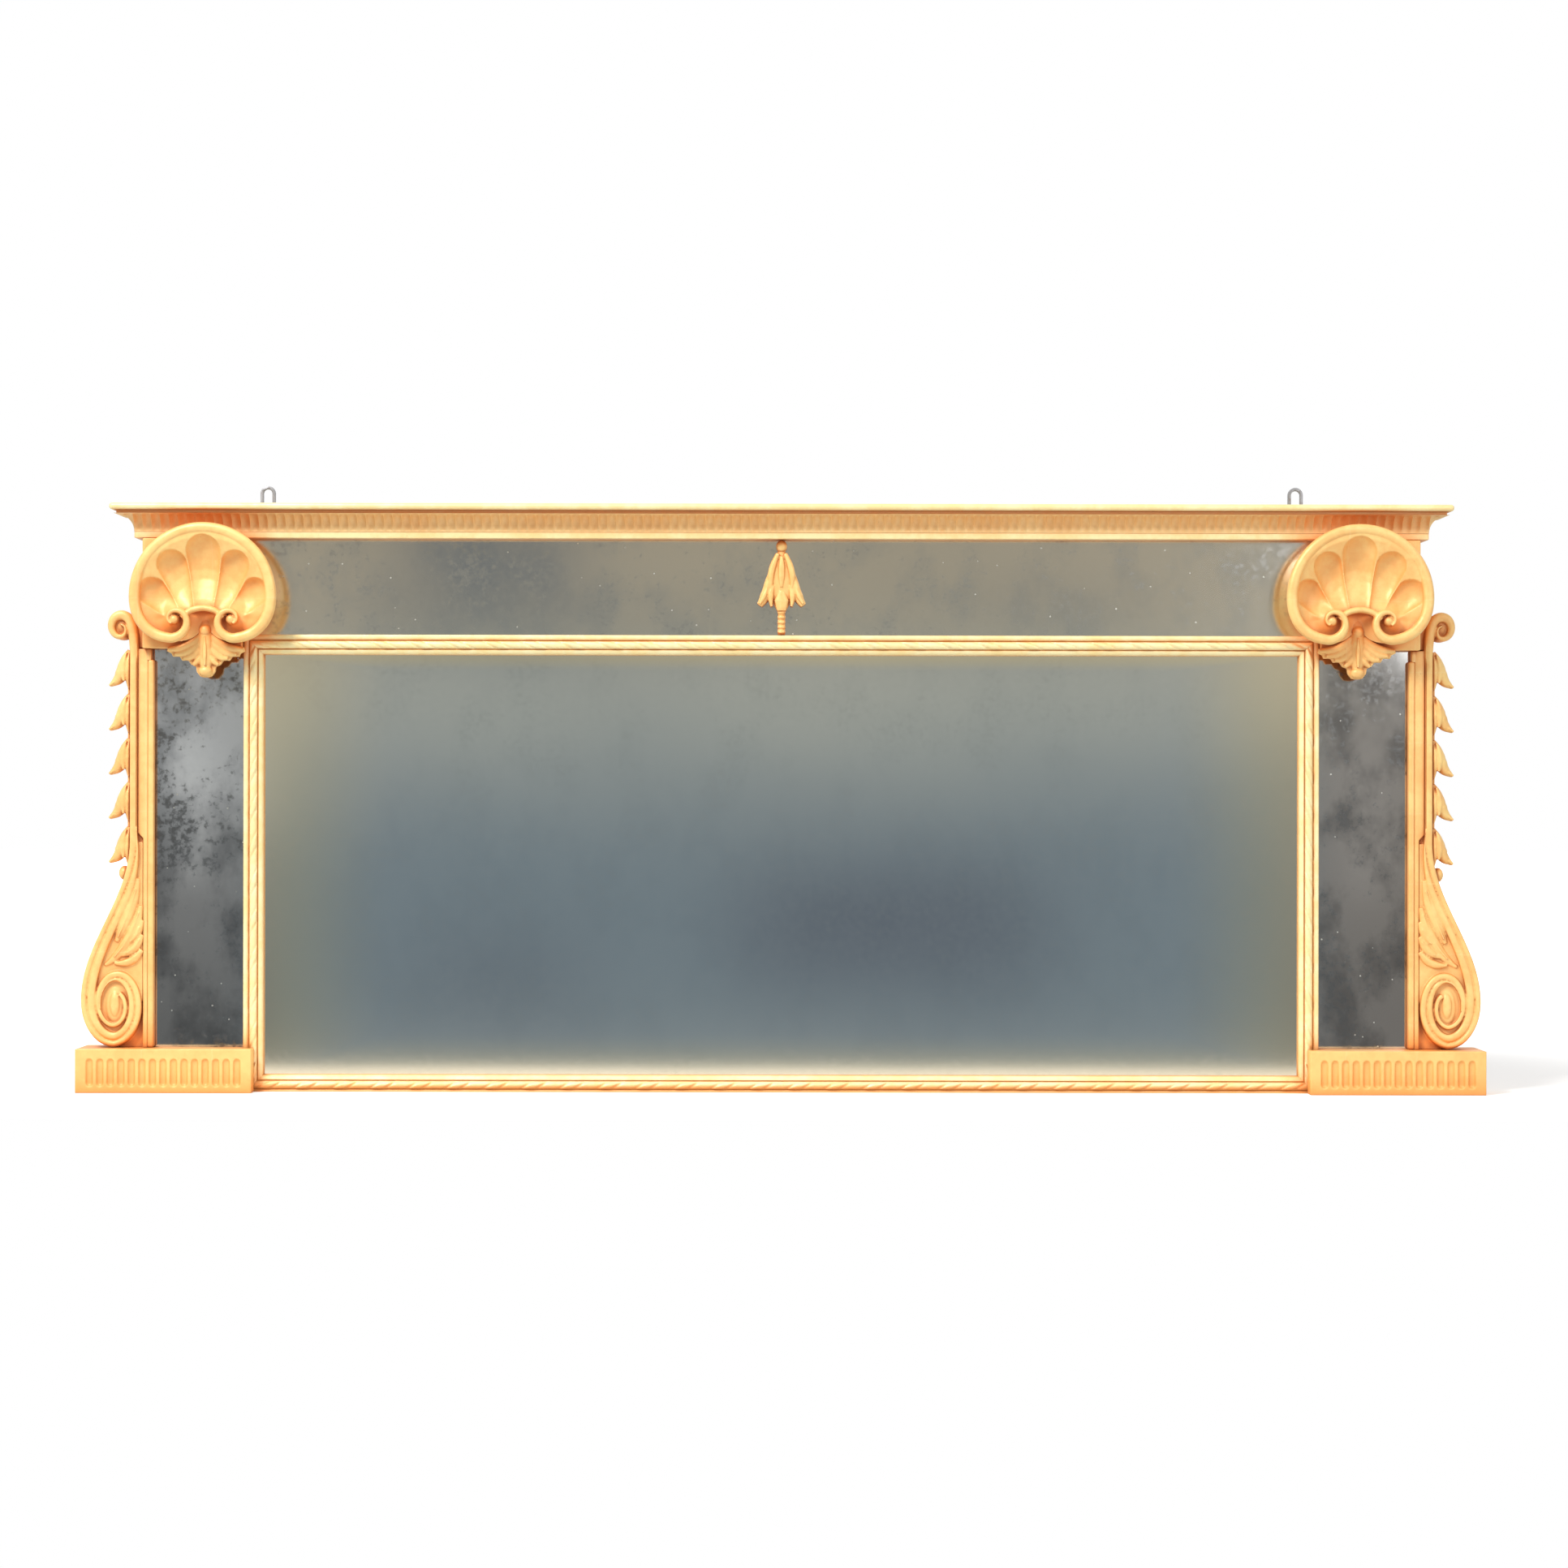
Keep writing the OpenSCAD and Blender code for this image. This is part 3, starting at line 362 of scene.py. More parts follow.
right_side = blend(rise(z, 500, -240), rgb(152, 147, 140), rgb(130, 126, 121))
right_side = patch(right_side, rgb(196, 192, 186), 0.4, (1380, 1410), 40, (150, 380), 120)
high_wall = rise(z, *frieze_line)
colour = blend(high_wall, colour, upper)
for side, tones in ((LEFT, left_side), (RIGHT, right_side)):
    beyond = rise(x, *[side * place for place in side_line])
    colour = blend(beyond * (1 - high_wall), colour, tones)
shine = at.node("Emission", None, {"Color": colour, "Strength": 1.0})
shine.into(room.node_tree.nodes["Material Output"].inputs["Surface"])
wall.data.materials.append(room)

# %% [markdown]
# ## Gilding
#
# Water gilding is gold leaf over a red clay called bole, over white gesso. Two centuries of
# dusting wear the leaf off the high edges, where the warm clay shows, and dirt stays in the
# hollows. The finish also paints shade into the hollows, and on the carving and the cove it
# paints the rubbed edges pale as a highlight. So the finish reads where the surface is: an
# occlusion test that looks outwards finds the hollows, and the same test turned inwards finds
# the edges. A longer test finds wide bays and paints them a deeper orange. This is painted shade,
# tinted the way light bounced between gold surfaces would tint it. Leaf is laid in squares, and a
# faint line shows where two overlap.

# %% Gold leaf
leaf_square = 78
edge_reach, dirt_and_shade_reach, bay_shade_reach = 2.2, 9, 34
bay_shade_share, lap_share, stain_share = 0.85, 0.1, 0.5
leaf_metal = 0.10
leaf_relief = 0.35
pale_lap = rgb(255, 240, 190)
stain = rgb(150, 104, 66)
# Tones of painted shade for wide bays, warm like light bounced between gold surfaces.
bounce_shade_orange = rgb(244, 144, 64)
bounce_shade_ochre = rgb(242, 180, 108)


def gilding(name, leaf, warm, hollow, clay_and_highlight, bay_shade_tone, dirt_and_shade, rub_and_highlight):
    """Gold leaf: pale and warm tones in clouds, dirt and painted shade in the hollows, painted shade
    in wide bays, and clay on the rubbed edges, which is a pale painted highlight on some slots.
    """
    finish, shader, at = start_finish(name, leaf_metal)
    clouds = noise(at, 42, 3.0)
    mottle = noise(at, 9, 4.0, 0.6)
    grit = noise(at, 1.6, 2.0, 0.7)
    crest = 1 - sky(at, edge_reach, inside=True)
    # Painted shade in wide bays, in an orange that stands for light bounced between gold.
    bay_shade = rise(sky(at, bay_shade_reach), 0.95, 0.42)
    # Dirt and painted shade in the hollows.
    deep = rise(sky(at, dirt_and_shade_reach) + (mottle - 0.5) * 0.25, 0.86, 0.42)
    # Worn edges: clay shows through. On the carving and the cove the edge tone is a pale painted
    # highlight.
    worn_and_highlit = rise(crest + (mottle - 0.5) * 0.7 + (grit - 0.5) * 0.35, 0.22, 0.62)
    x, _, z = split(at)
    squares = [(v + mottle * 5) * (1 / leaf_square) for v in (x, z)]
    upright, level = [rise(v.math("FRACT"), 0.025, 0.008) for v in squares]
    lap = upright.math("MAXIMUM", level)
    colour = blend(rise(clouds * 0.6 + mottle * 0.4, 0.38, 0.62), leaf, warm)
    colour = blend(lap * lap_share, colour, pale_lap)
    # Clay on the worn edges, which on the carving and the cove is a pale painted highlight.
    colour = blend(worn_and_highlit * rub_and_highlight, colour, clay_and_highlight)
    colour = blend(bay_shade * bay_shade_share, colour, bay_shade_tone)
    # The hollow tone is dirt and painted shade.
    colour = blend(deep * dirt_and_shade, colour, hollow)
    colour = blend(rise(spots(at, 13), 0.045, 0.02) * stain_share, colour, stain)
    roughness = 0.36 + mottle * 0.16 + worn_and_highlit * 0.12 + deep * 0.15
    end_finish(shader, colour, roughness, mottle * 0.5 + grit * 0.25 + lap * 0.06, leaf_relief)
    return finish


# Each row: leaf, warm leaf, hollow tone of dirt and painted shade, edge tone (clay, and a pale
# painted highlight on the carving and the cove), painted bay shade, and the shares of dirt with
# shade and of rubbing with highlight.
coats = {}
for slot, *tones, bay_shade_tone, dirt_and_shade, rub_and_highlight in (
    ("moulding", (255, 243, 188), (253, 228, 160), (200, 140, 76), (244, 190, 134), bounce_shade_orange, 0.8, 0.35),
    ("cornice", (255, 240, 182), (252, 222, 156), (196, 134, 78), (246, 200, 146), bounce_shade_orange, 0.7, 0.35),
    ("cove", (255, 220, 156), (250, 202, 136), (206, 130, 70), (255, 228, 170), bounce_shade_ochre, 0.85, 0.6),
    ("carving", (254, 213, 136), (249, 193, 118), (186, 112, 62), (255, 230, 172), bounce_shade_orange, 0.95, 0.5),
    ("plinth", (250, 206, 128), (246, 192, 116), (206, 144, 82), (240, 180, 124), bounce_shade_orange, 0.7, 0.3),
):
    tones = [rgb(*tone) for tone in tones]
    coats["gilt_" + slot] = gilding(f"gilt_{slot}_leaf", *tones, bay_shade_tone, dirt_and_shade, rub_and_highlight)
print("gold finishes:", len(coats))

# %% [markdown]
# ## Old mirror glass
#
# These plates are tin and mercury amalgam behind glass. Damp creeps in from the edges and eats
# black and grey clouds into the metal, and small bright specks show where it has crystallised.
# The metal still mirrors, so the finish stays a metal: its colour is what the amalgam sends back,
# and its roughness is how much it blurs. Round the big plate, a pale warm band in that colour is a
# painted reflection.


# %% Silvering
toned_band = 150
toned_share = 0.8
foot_speed, head_speed = 3, 8
reflected_beige = rgb(250, 236, 204)


def painted_edge_reflection(at, colour):
    """A painted reflection round the big plate: a pale warm band, wide at the sides and narrow at
    foot and head.
    """
    x, _, z = split(at)
    upwards = ((z - z_sill) * foot_speed).math("MINIMUM", (z_head - z) * head_speed)
    inwards = (x_sight - abs(x)).math("MINIMUM", upwards)
    return blend(rise(inwards, toned_band, 0) * toned_share, colour, reflected_beige)


def silvering(name, tint, cloudy, rot, blur, cloud_share, rot_share, sparkle, last_coat=None):
    """Amalgam: a tint, broad clouds, black rot from the edges and bright specks."""
    finish, shader, at = start_finish(name, 1.0)
    clouds = noise(at, 55, 4.0, 0.55, (1, 1, 1.4))
    fine = noise(at, 7, 4.0, 0.65)
    veins = abs(noise(at, 24, 3.0, 0.6) - 0.5)
    colour = blend(rise(clouds, 0.40, 0.66) * cloud_share, tint, cloudy)
    eaten = rise(clouds * 0.45 + fine * 0.55 + (0.05 - veins) * 0.6, 0.52, 0.66) * rot_share
    colour = blend(eaten, colour, rot)
    speck = rise(spots(at, 17) + (fine - 0.5) * 0.06, 0.075, 0.03) * sparkle
    colour = blend(speck, colour, rgb(236, 236, 228))
    if last_coat:
        colour = last_coat(at, colour)
    roughness = blur + eaten * 0.3 + speck * 0.3 + fine * 0.05
    end_finish(shader, colour, roughness, noise(at, 210, 1.0), 0.25)
    return finish


# The big plate has a pale warm band round its edge, which is a painted reflection.
main_glass = silvering("silver_main", rgb(219, 221, 222), rgb(211, 214, 216), rgb(150, 150, 140),
                       0.10, 0.5, 0.04, 0.1, painted_edge_reflection)
side_glass = silvering("silver_side", rgb(212, 212, 212), rgb(150, 151, 153), rgb(70, 70, 72),
                       0.06, 0.8, 0.5, 0.9)
frieze_glass = silvering("silver_frieze", rgb(224, 222, 216), rgb(196, 202, 208), rgb(140, 138, 132),
                         0.11, 0.5, 0.3, 0.9)

# %% [markdown]
# ## Pine and steel
#
# The carcass and the backboards are softwood, and old pine turns orange brown. Growth rings are
# planes in the plank that the saw cut at a slant, so noise stretched far along the grain gives
# the streaks, and a sine of the warped distance across the plank gives the rings. The hangers are
# plain steel, dull and lightly rusted.


# %% Pine
def pine(name, pale, dark, grime_and_shade, stretch):
    """Softwood with streaks and rings along the long direction of stretch."""
    finish, shader, at = start_finish(name, 0.0, 0.3)
    warp = noise(at, 60, 3.0, 0.5, stretch)
    streak = noise(at, 3.5, 4.0, 0.6, stretch)
    rings = ((warp * 26).math("SINE") * 0.5 + 0.5) * 0.6 + streak * 0.4
    patches = noise(at, 110, 4.0, 0.6)
    colour = blend(rise(rings, 0.25, 0.8), pale, dark)
    colour = blend(rise(patches, 0.42, 0.7) * 0.45, colour, grime_and_shade)
    # Darker in the hollows, within 14 mm: painted shade as well as grime.
    colour = blend(rise(sky(at, 14), 0.8, 0.4) * 0.7, colour, grime_and_shade)
    end_finish(shader, colour, 0.62 + streak * 0.2, rings * 0.6 + streak * 0.4, 0.3)
    return finish


along_x = (14, 1, 1)
along_z = (1, 1, 14)
orange_pine = rgb(206, 158, 104), rgb(170, 116, 70), rgb(112, 78, 50)
brown_pine = rgb(176, 126, 80), rgb(140, 94, 58), rgb(88, 62, 42)
pine_rail = pine("pine_rail", *orange_pine, along_x)
pine_post = pine("pine_post", *orange_pine, along_z)
pine_board = pine("pine_board", *brown_pine, along_x)


# %% Steel
def old_steel(name):
    """Dull steel with a fine scratch and a little rust in clouds."""
    finish, shader, at = start_finish(name, 0.85)
    clouds = noise(at, 8, 4.0, 0.6)
    scratch = noise(at, 0.8, 2.0, 0.6, (1, 1, 9))
    rust = rise(clouds, 0.55, 0.72)
    colour = blend(rust * 0.6, rgb(150, 150, 154), rgb(122, 84, 62))
    end_finish(shader, colour, 0.36 + clouds * 0.2 + rust * 0.2, scratch * 0.4 + clouds * 0.6, 0.08)
    return finish


steel = coats["steel"] = old_steel("hanger_steel")

# %% [markdown]
# ## Tools for carving
#
# Most parts start from a grid primitive, which is like a flat sheet of clay. `skin` bends it: it
# takes a formula that says where each point of the sheet goes, closes the seams and turns the
# faces outwards. A `stroke` is a skin rolled round a curved path, thick where the gouge left more
# wood, and is what leaves and scrolls are built from; `strokes` makes one for each row of a
# table. `carve` melts several strokes into one surface with a voxel remesh and softens it, just
# as coats of gesso round off the carving on the real frame.

# %% Selecting and closing
weld = 0.02 * MM


def deselect():
    """Nothing is selected, so an operator acts only on what is picked next."""
    for obj in bpy.context.selected_objects:
        obj.select_set(False)


def pick(*objs):
    """Selects these objects, the first of them active."""
    deselect()
    for obj in objs:
        obj.select_set(True)
    bpy.context.view_layer.objects.active = objs[0]


def in_edit(obj, *steps):
    """Runs edit-mode steps on an object with all its points selected."""
    pick(obj)
    bpy.ops.object.mode_set(mode="EDIT")
    bpy.ops.mesh.select_all(action="SELECT")
    for step in steps:
        step()
    bpy.ops.object.mode_set(mode="OBJECT")


def close_up(obj):
    """Merges doubles, fills open ends and turns the faces outwards."""
    in_edit(
        obj,
        lambda: bpy.ops.mesh.remove_doubles(threshold=weld),
        lambda: bpy.ops.mesh.fill_holes(sides=0),
        lambda: bpy.ops.mesh.select_all(action="SELECT"),
        lambda: bpy.ops.mesh.normals_make_consistent(inside=False),
    )


def modify(obj, kind, **settings):
    """Adds a modifier of this kind with its settings and applies it."""
    modifier = obj.modifiers.new(kind, kind)
    for name, value in settings.items():
        setattr(modifier, name, value)
    pick(obj)
    bpy.ops.object.modifier_apply(modifier=modifier.name)


# %% Skin, stroke and block
def soft(value):
    """0 to 1 with a smooth start and end."""
    c = np.clip(value, 0, 1)
    return c * c * (3 - 2 * c)


def keyed(*values):
    """A function of 0 to 1 that runs smoothly through evenly spaced values."""
    keys = np.linspace(0, 1, len(values))
    fine = np.linspace(0, 1, 20 * len(values))
    line = np.interp(fine, keys, values)
    for _ in range(4):
        line[1:-1] = (line[:-2] + 2 * line[1:-1] + line[2:]) / 4
    return lambda s: np.interp(s, fine, line)


def part_way(value, start, length):
    """How far a value is through a stretch, from 0 to 1."""
    return np.clip((value - start) / length, 0, 1)


def skin(name, across, along, shape, closed=True):
    """Bends a grid primitive. shape(u, v) gives x, z and t in millimetres for each of its points.

    Its seams are closed, except where copies of it are to be joined first."""
    deselect()
    bpy.ops.mesh.primitive_grid_add(x_subdivisions=across, y_subdivisions=along, size=1)
    sheet = bpy.context.object
    sheet.name = name
    points = np.empty(3 * len(sheet.data.vertices))
    sheet.data.vertices.foreach_get("co", points)
    x, z, t = shape(points[0::3] + 0.5, points[1::3] + 0.5)
    placed = np.column_stack([x + 0 * t, y_back - t, z + 0 * t]) * MM
    sheet.data.vertices.foreach_set("co", placed.ravel())
    sheet.data.update()
    if closed:
        close_up(sheet)
    return sheet


def shares(path):
    """How far along a path each of its points lies, from 0 to 1."""
    length = np.concatenate([[0], np.cumsum(np.hypot(*np.diff(path, axis=0).T))])
    return length / length[-1]


def through(points):
    """A smooth path through points of the front view, as a function of 0 to 1 along its length."""
    path = np.array(points, float)
    for _ in range(6):
        cut = np.empty((2 * len(path), 2))
        cut[0], cut[-1] = path[0], path[-1]
        cut[1:-1:2] = 0.75 * path[:-1] + 0.25 * path[1:]
        cut[2:-1:2] = 0.25 * path[:-1] + 0.75 * path[1:]
        path = cut
    share = shares(path)
    return lambda s: (np.interp(s, share, path[:, 0]), np.interp(s, share, path[:, 1]))


def as_line(value):
    """A number or a list of keys, as a function of 0 to 1."""
    return keyed(*value) if isinstance(value, (list, tuple)) else lambda s: value


def stroke(name, points, half_w, half_t, t, along=60, round_about=20, square=2.0):
    """A carved stroke: an oval swept through points. Its half widths and its depth t may change."""
    path = through(points)
    half_w, half_t, t = as_line(half_w), as_line(half_t), as_line(t)
    nudge = 0.004

    def oval(wave, half):
        return np.sign(wave) * np.abs(wave) ** (2 / square) * half

    def shape(u, v):
        turn = 2 * math.pi * u
        x0, z0 = path(np.clip(v - nudge, 0, 1))
        x1, z1 = path(np.clip(v + nudge, 0, 1))
        length = np.maximum(np.hypot(x1 - x0, z1 - z0), 1e-9)
        x, z = path(v)
        side = oval(np.cos(turn), half_w(v))
        out = oval(np.sin(turn), half_t(v))
        return x - (z1 - z0) / length * side, z + (x1 - x0) / length * side, t(v) + out

    return skin(name, round_about, along, shape)


def strokes(rows, place, t):
    """A stroke for each row: name, points, half widths, half depths, distance before t and steps."""
    return [
        stroke(name, place(points), half_w, half_t, t + lift, *steps)
        for name, points, half_w, half_t, lift, *steps in rows
    ]


def settle(name, x, z, t, size_x, size_z, size_t):
    """Names the primitive just added and gives it a place and a size in millimetres."""
    made = bpy.context.object
    made.name = name
    made.scale = (size_x * MM, size_t * MM, size_z * MM)
    made.location = (x * MM, (y_back - t) * MM, z * MM)
    bpy.ops.object.transform_apply()
    return made


def ball(name, x, z, t, half_x, half_z, half_t):
    """An oval boss, from a sphere primitive."""
    deselect()
    bpy.ops.mesh.primitive_uv_sphere_add(segments=32, ring_count=16, radius=1)
    return settle(name, x, z, t, half_x, half_z, half_t)


def block(name, x, z, t):
    """A rectangular block between two places across, two heights and two depths, from a cube."""
    deselect()
    bpy.ops.mesh.primitive_cube_add(size=1)
    size = x[1] - x[0], z[1] - z[0], t[1] - t[0]
    return settle(name, sum(x) / 2, sum(z) / 2, sum(t) / 2, *size)


def cut_out(name, outline, t):
    """A flat outline of the front view with a thickness, from a circle whose rim is moved."""
    deselect()
    bpy.ops.mesh.primitive_circle_add(vertices=len(outline), fill_type="NGON")
    board = bpy.context.object
    board.name = name
    for point, (x, z) in zip(board.data.vertices, outline):
        point.co = (x * MM, (y_back - t[0]) * MM, z * MM)
    in_edit(board, lambda: bpy.ops.mesh.extrude_region_move(
        TRANSFORM_OT_translate={"value": (0, (t[0] - t[1]) * MM, 0)}))
    close_up(board)
    return board


# %% Joining, melting, mirroring and fitting
def join(name, parts):
    """Several objects become one."""
    pick(*parts)
    bpy.ops.object.join()
    parts[0].name = name
    return parts[0]


def smooth_shade(obj, angle):
    """Shades smooth over all edges but those sharper than angle degrees."""
    pick(obj)
    bpy.ops.object.shade_smooth_by_angle(angle=math.radians(angle))


def carve(name, parts, grain, softening):
    """Melts parts into one skin with grains of the given size and softens it as gesso does."""
    carving = join(name, parts)
    pick(carving)
    carving.data.remesh_voxel_size = grain * MM
    bpy.ops.object.voxel_remesh()
    modify(carving, "SMOOTH", factor=0.5, iterations=softening)
    smooth_shade(carving, 75)
    return carving


def mirrored(obj):
    """A copy on the other side of the middle, its faces turned outwards again."""
    pick(obj)
    bpy.ops.object.duplicate()
    twin = bpy.context.object
    twin.scale = (-1, 1, 1)
    bpy.ops.object.transform_apply()
    in_edit(twin, lambda: bpy.ops.mesh.normals_make_consistent(inside=False))
    return twin


def fit(piece, node, slot):
    """The piece rides on the frame, stands for a solid and takes the finish of its slot."""
    piece.name = "dressed_" + node
    piece.data.materials.clear()
    piece.data.materials.append(coats[slot])
    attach(piece, "root")
    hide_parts(node)
    print(f"{piece.name}: {len(piece.data.polygons)} faces")


def fit_pair(piece, stem, slot="gilt_carving"):
    """Fits a right-hand piece and its mirror image."""
    fit(mirrored(piece), stem + "_left", slot)
    fit(piece, stem + "_right", slot)


# %% [markdown]
# ## The moulding round the big plate
#
# The inner frame is a thin mitred moulding. Seen across it has a sloping sight edge, a fillet, a
# round bead between two quirks, and an outer fillet. A ribbon is wound round the bead. Extruding
# a section along a line gives such a length, and here the grid primitive is that extrusion: one
# way round it follows the section and the other way it follows the length. Its ends shift with
# the distance from the plate, which cuts the mitres. The bottom length is trimmed level with the
# plinths. The ribbon is a raised slanting band on the bead, so the same formula lifts those
# points a little.

# %% Section of the moulding: distance outwards from the sight edge and projection, in millimetres
bead_at = 10.8
bead_low = 8.8
bead_r = 4.4
bead_rise = 4.2
arc = np.linspace(math.pi, 0, 17)
moulding_section = np.array(
    [(0, 0), (0, 5), (0.5, 6.8), (1.6, 8.2), (3.4, 9.3), (5.0, 9.7), (5.6, 9.3), (5.9, 8.6),
     (6.3, 8.7)]
    + [(bead_at + bead_r * math.cos(a), bead_low + bead_rise * math.sin(a)) for a in arc]
    + [(15.6, 9.2), (16.4, 10.1), (18, 10.9), (19.8, 11), (21.2, 10.5), (22, 9.2), (22, 0), (0, 0)]
)
ribbon_pitch = 42
ribbon_w = 15
ribbon_lean = 8
ribbon_lift = 0.7
ribbon_edge = 3.5
groove_out, groove_w, groove_depth = 1, 2.4, 0.9
mitre_gap = 0.05


def ribbon(outwards, along):
    """How far the wound ribbon stands above the bead, with a groove on both sides of it."""
    place = (along + ribbon_lean * (outwards - bead_at) / bead_r) / ribbon_pitch
    from_middle = np.abs(place - np.floor(place) - 0.5) * ribbon_pitch
    band = soft((ribbon_w / 2 - from_middle) / ribbon_edge)
    groove = np.exp(-(((from_middle - ribbon_w / 2 - groove_out) / groove_w) ** 2))
    on_bead = soft((bead_r * 0.98 - np.abs(outwards - bead_at)) / 0.8)
    return on_bead * (ribbon_lift * band - groove_depth * groove)


# %% The four lengths, mitred
def moulding_length(side, half_length, middle, place, steps, widest=99):
    """One length, trimmed to its widest. place(outwards, along) turns it to its side of the plate."""
    corners = range(len(moulding_section))

    def shape(u, v):
        outwards, lift = [np.interp(u * corners[-1], corners, line) for line in moulding_section.T]
        outwards = np.minimum(outwards, widest)
        along = (2 * v - 1) * (half_length + outwards - mitre_gap)
        front = lift + ribbon(outwards, along) * (lift > bead_low)
        x, z = place(outwards, along + middle)
        return x, z, t_face + np.minimum(front, t_mould - t_face)

    length = skin("length", corners[-1], steps, shape)
    smooth_shade(length, 35)
    fit(length, "frame_moulding_" + side, "gilt_moulding")


half_high = (z_head - z_sill) / 2
mid_high = (z_head + z_sill) / 2
moulding_length("top", x_sight, 0, lambda o, a: (a, z_head + o), 900)
moulding_length("bottom", x_sight, 0, lambda o, a: (a, z_sill - o), 900, z_sill)
# The lengths at the sides end at the foot of the object, where z is 0.
for name, side in (("left", LEFT), ("right", RIGHT)):
    moulding_length(
        name, half_high, mid_high, lambda o, a: (side * (x_sight + o), np.maximum(a, 0)), 380)

# %% [markdown]
# ## Strips beside the consoles
#
# Between each side plate and its console stands a strip: a thin bead that stops below the shell,
# and a flat band with softened corners. The bead and the short cap above it are blocks. The band
# is cut from an outline, because it steps back where the console laps over it. A bevel modifier
# rounds them, because a real edge under gesso is never sharp, and that small round is what
# catches the light.

# %% The strips
def eased(obj, width, steps=3):
    """Rounds the sharp edges of a block by this many millimetres."""
    modify(obj, "BEVEL", width=width * MM, segments=steps, limit_method="ANGLE",
           angle_limit=math.radians(30))
    smooth_shade(obj, 50)
    return obj


bead_w = 7
bead_top = z_block - 12
cap_in = 3
lap_w = 6
z_lap = 286.5
x_flat = x_side + bead_w - 0.6
x_lap = x_band - lap_w
t_strip = y_back - low("stile_moulding_right").y

across = (x_side, x_side + bead_w)
bead = eased(block("bead", across, (z_plinth, bead_top), (t_face, t_strip - 0.2)), 2.6, 5)
across = (x_side + cap_in, x_side + bead_w + 1)
cap = eased(block("cap", across, (bead_top - 1, z_block), (t_face, t_strip - 0.6)), 1.2)
flat = [(x_flat, z_plinth), (x_lap, z_plinth), (x_lap, z_lap - lap_w), (x_band, z_lap),
        (x_band, z_block), (x_flat, z_block)]
band = eased(cut_out("band", flat, (t_face, t_strip - 1.2)), 1.3)
fit_pair(join("strip", [bead, cap, band]), "stile_moulding")

# %% [markdown]
# ## Cornice
#
# The cornice is a board with a rounded edge, a cove below it cut with a row of small upright
# flutes, and a fillet. All the flutes are the same, so one cell of the cove is modelled and an
# Array modifier repeats it. Each cell is a grid bent to a quarter hollow, with a scoop pressed
# into it that fades out at both ends. The row is then cut at 45 degrees with bisect, where the
# return goes round the corner.

# %% One flute of the cove and the row
cove_r = z_board - z_cove
cove_steps = 9
flute_steps = 6
flute_pitch = 9.86
flute_share = 0.84
flute_depth = 2.9
foot_fade, head_gap, head_fade = 0.4, 0.2, 0.25
quarter = np.linspace(0, math.pi / 2, cove_steps + 1)


def cove_row(cells, place, step, depth):
    """Fluted cells side by side, with a ground of this depth behind the cove.

    place(along, out) gives x and t, and step is one cell on, in x and t."""
    behind = [(-depth, z_board), (-depth, z_cove), (0, z_cove)]

    def shape(u, v):
        at = np.rint(u * (cove_steps + 3)).astype(int)
        angle = quarter[np.minimum(at, cove_steps)]
        side = np.abs(2 * v - 1) / flute_share
        scoop = np.sqrt(np.clip(1 - side**2, 0, 1)) * soft(angle / foot_fade)
        scoop = scoop * soft((np.cos(angle) - head_gap) / head_fade)
        radius = cove_r + flute_depth * scoop
        out = cove_r - radius * np.cos(angle)
        z = np.minimum(z_cove + radius * np.sin(angle), z_board)
        for i, corner in enumerate(behind):
            out = np.where(at == cove_steps + 1 + i, corner[0], out)
            z = np.where(at == cove_steps + 1 + i, corner[1], z)
        x, t = place((v - 0.5) * flute_pitch, out)
        return x, z, t

    row = skin("cove", cove_steps + 3, flute_steps, shape, closed=False)
    modify(row, "ARRAY", count=cells, use_relative_offset=False, use_constant_offset=True,
           constant_offset_displace=(step[0] * MM, -step[1] * MM, 0))
    close_up(row)
    return row


def saw(obj, x, t, normal):
    """Cuts a piece through x and t and drops what lies on the side the normal points to."""
    plane = {"plane_co": (x * MM, (y_back - t) * MM, 0), "plane_no": normal}
    in_edit(obj, lambda: bpy.ops.mesh.bisect(use_fill=True, clear_outer=True, **plane))
    close_up(obj)


row_cells = 2 * int((x_fillet + cove_r) / flute_pitch) + 3
row_half = (row_cells - 1) / 2 * flute_pitch
cove = cove_row(
    row_cells, lambda a, out: (a - row_half, t_block + out), (flute_pitch, 0), t_block - t_face)
saw(cove, x_fillet - mitre_gap, t_block, (1, 1, 0))
saw(cove, -x_fillet + mitre_gap, t_block, (-1, 1, 0))
smooth_shade(cove, 50)
fit(cove, "cornice_cove_front", "gilt_cove")

t_return = y_back - high("cornice_cove_right").y
return_cells = 9
# The flutes of the return keep step with those of the front, so that they meet in the mitre.
t_start = t_return - (t_return - t_block + x_fillet) % flute_pitch
cove = cove_row(
    return_cells, lambda a, out: (x_fillet + out, a + t_start), (0, flute_pitch),
    x_fillet - x_block - mitre_gap)
saw(cove, x_fillet, t_block - mitre_gap, (-1, -1, 0))
saw(cove, x_fillet, t_return, (0, 1, 0))
smooth_shade(cove, 50)
fit_pair(cove, "cornice_cove", "gilt_cove")


# %% The board: a round nose over a small fillet that lies in its shade
board_low, board_high = low("cornice_board"), high("cornice_board")
t_board = (y_back - board_high.y, y_back - board_low.y)
z_nose = z_board + 3.7
set_in = 7
nose = block("nose", (board_low.x, board_high.x), (z_nose, board_high.z), t_board)
under = block("under", (board_low.x + set_in, board_high.x - set_in), (z_board, z_nose + 0.3),
              (t_board[0], t_board[1] - set_in))
board = join("board", [eased(nose, 3.4, 6), eased(under, 0.6)])
smooth_shade(board, 50)
fit(board, "cornice_board", "gilt_cornice")


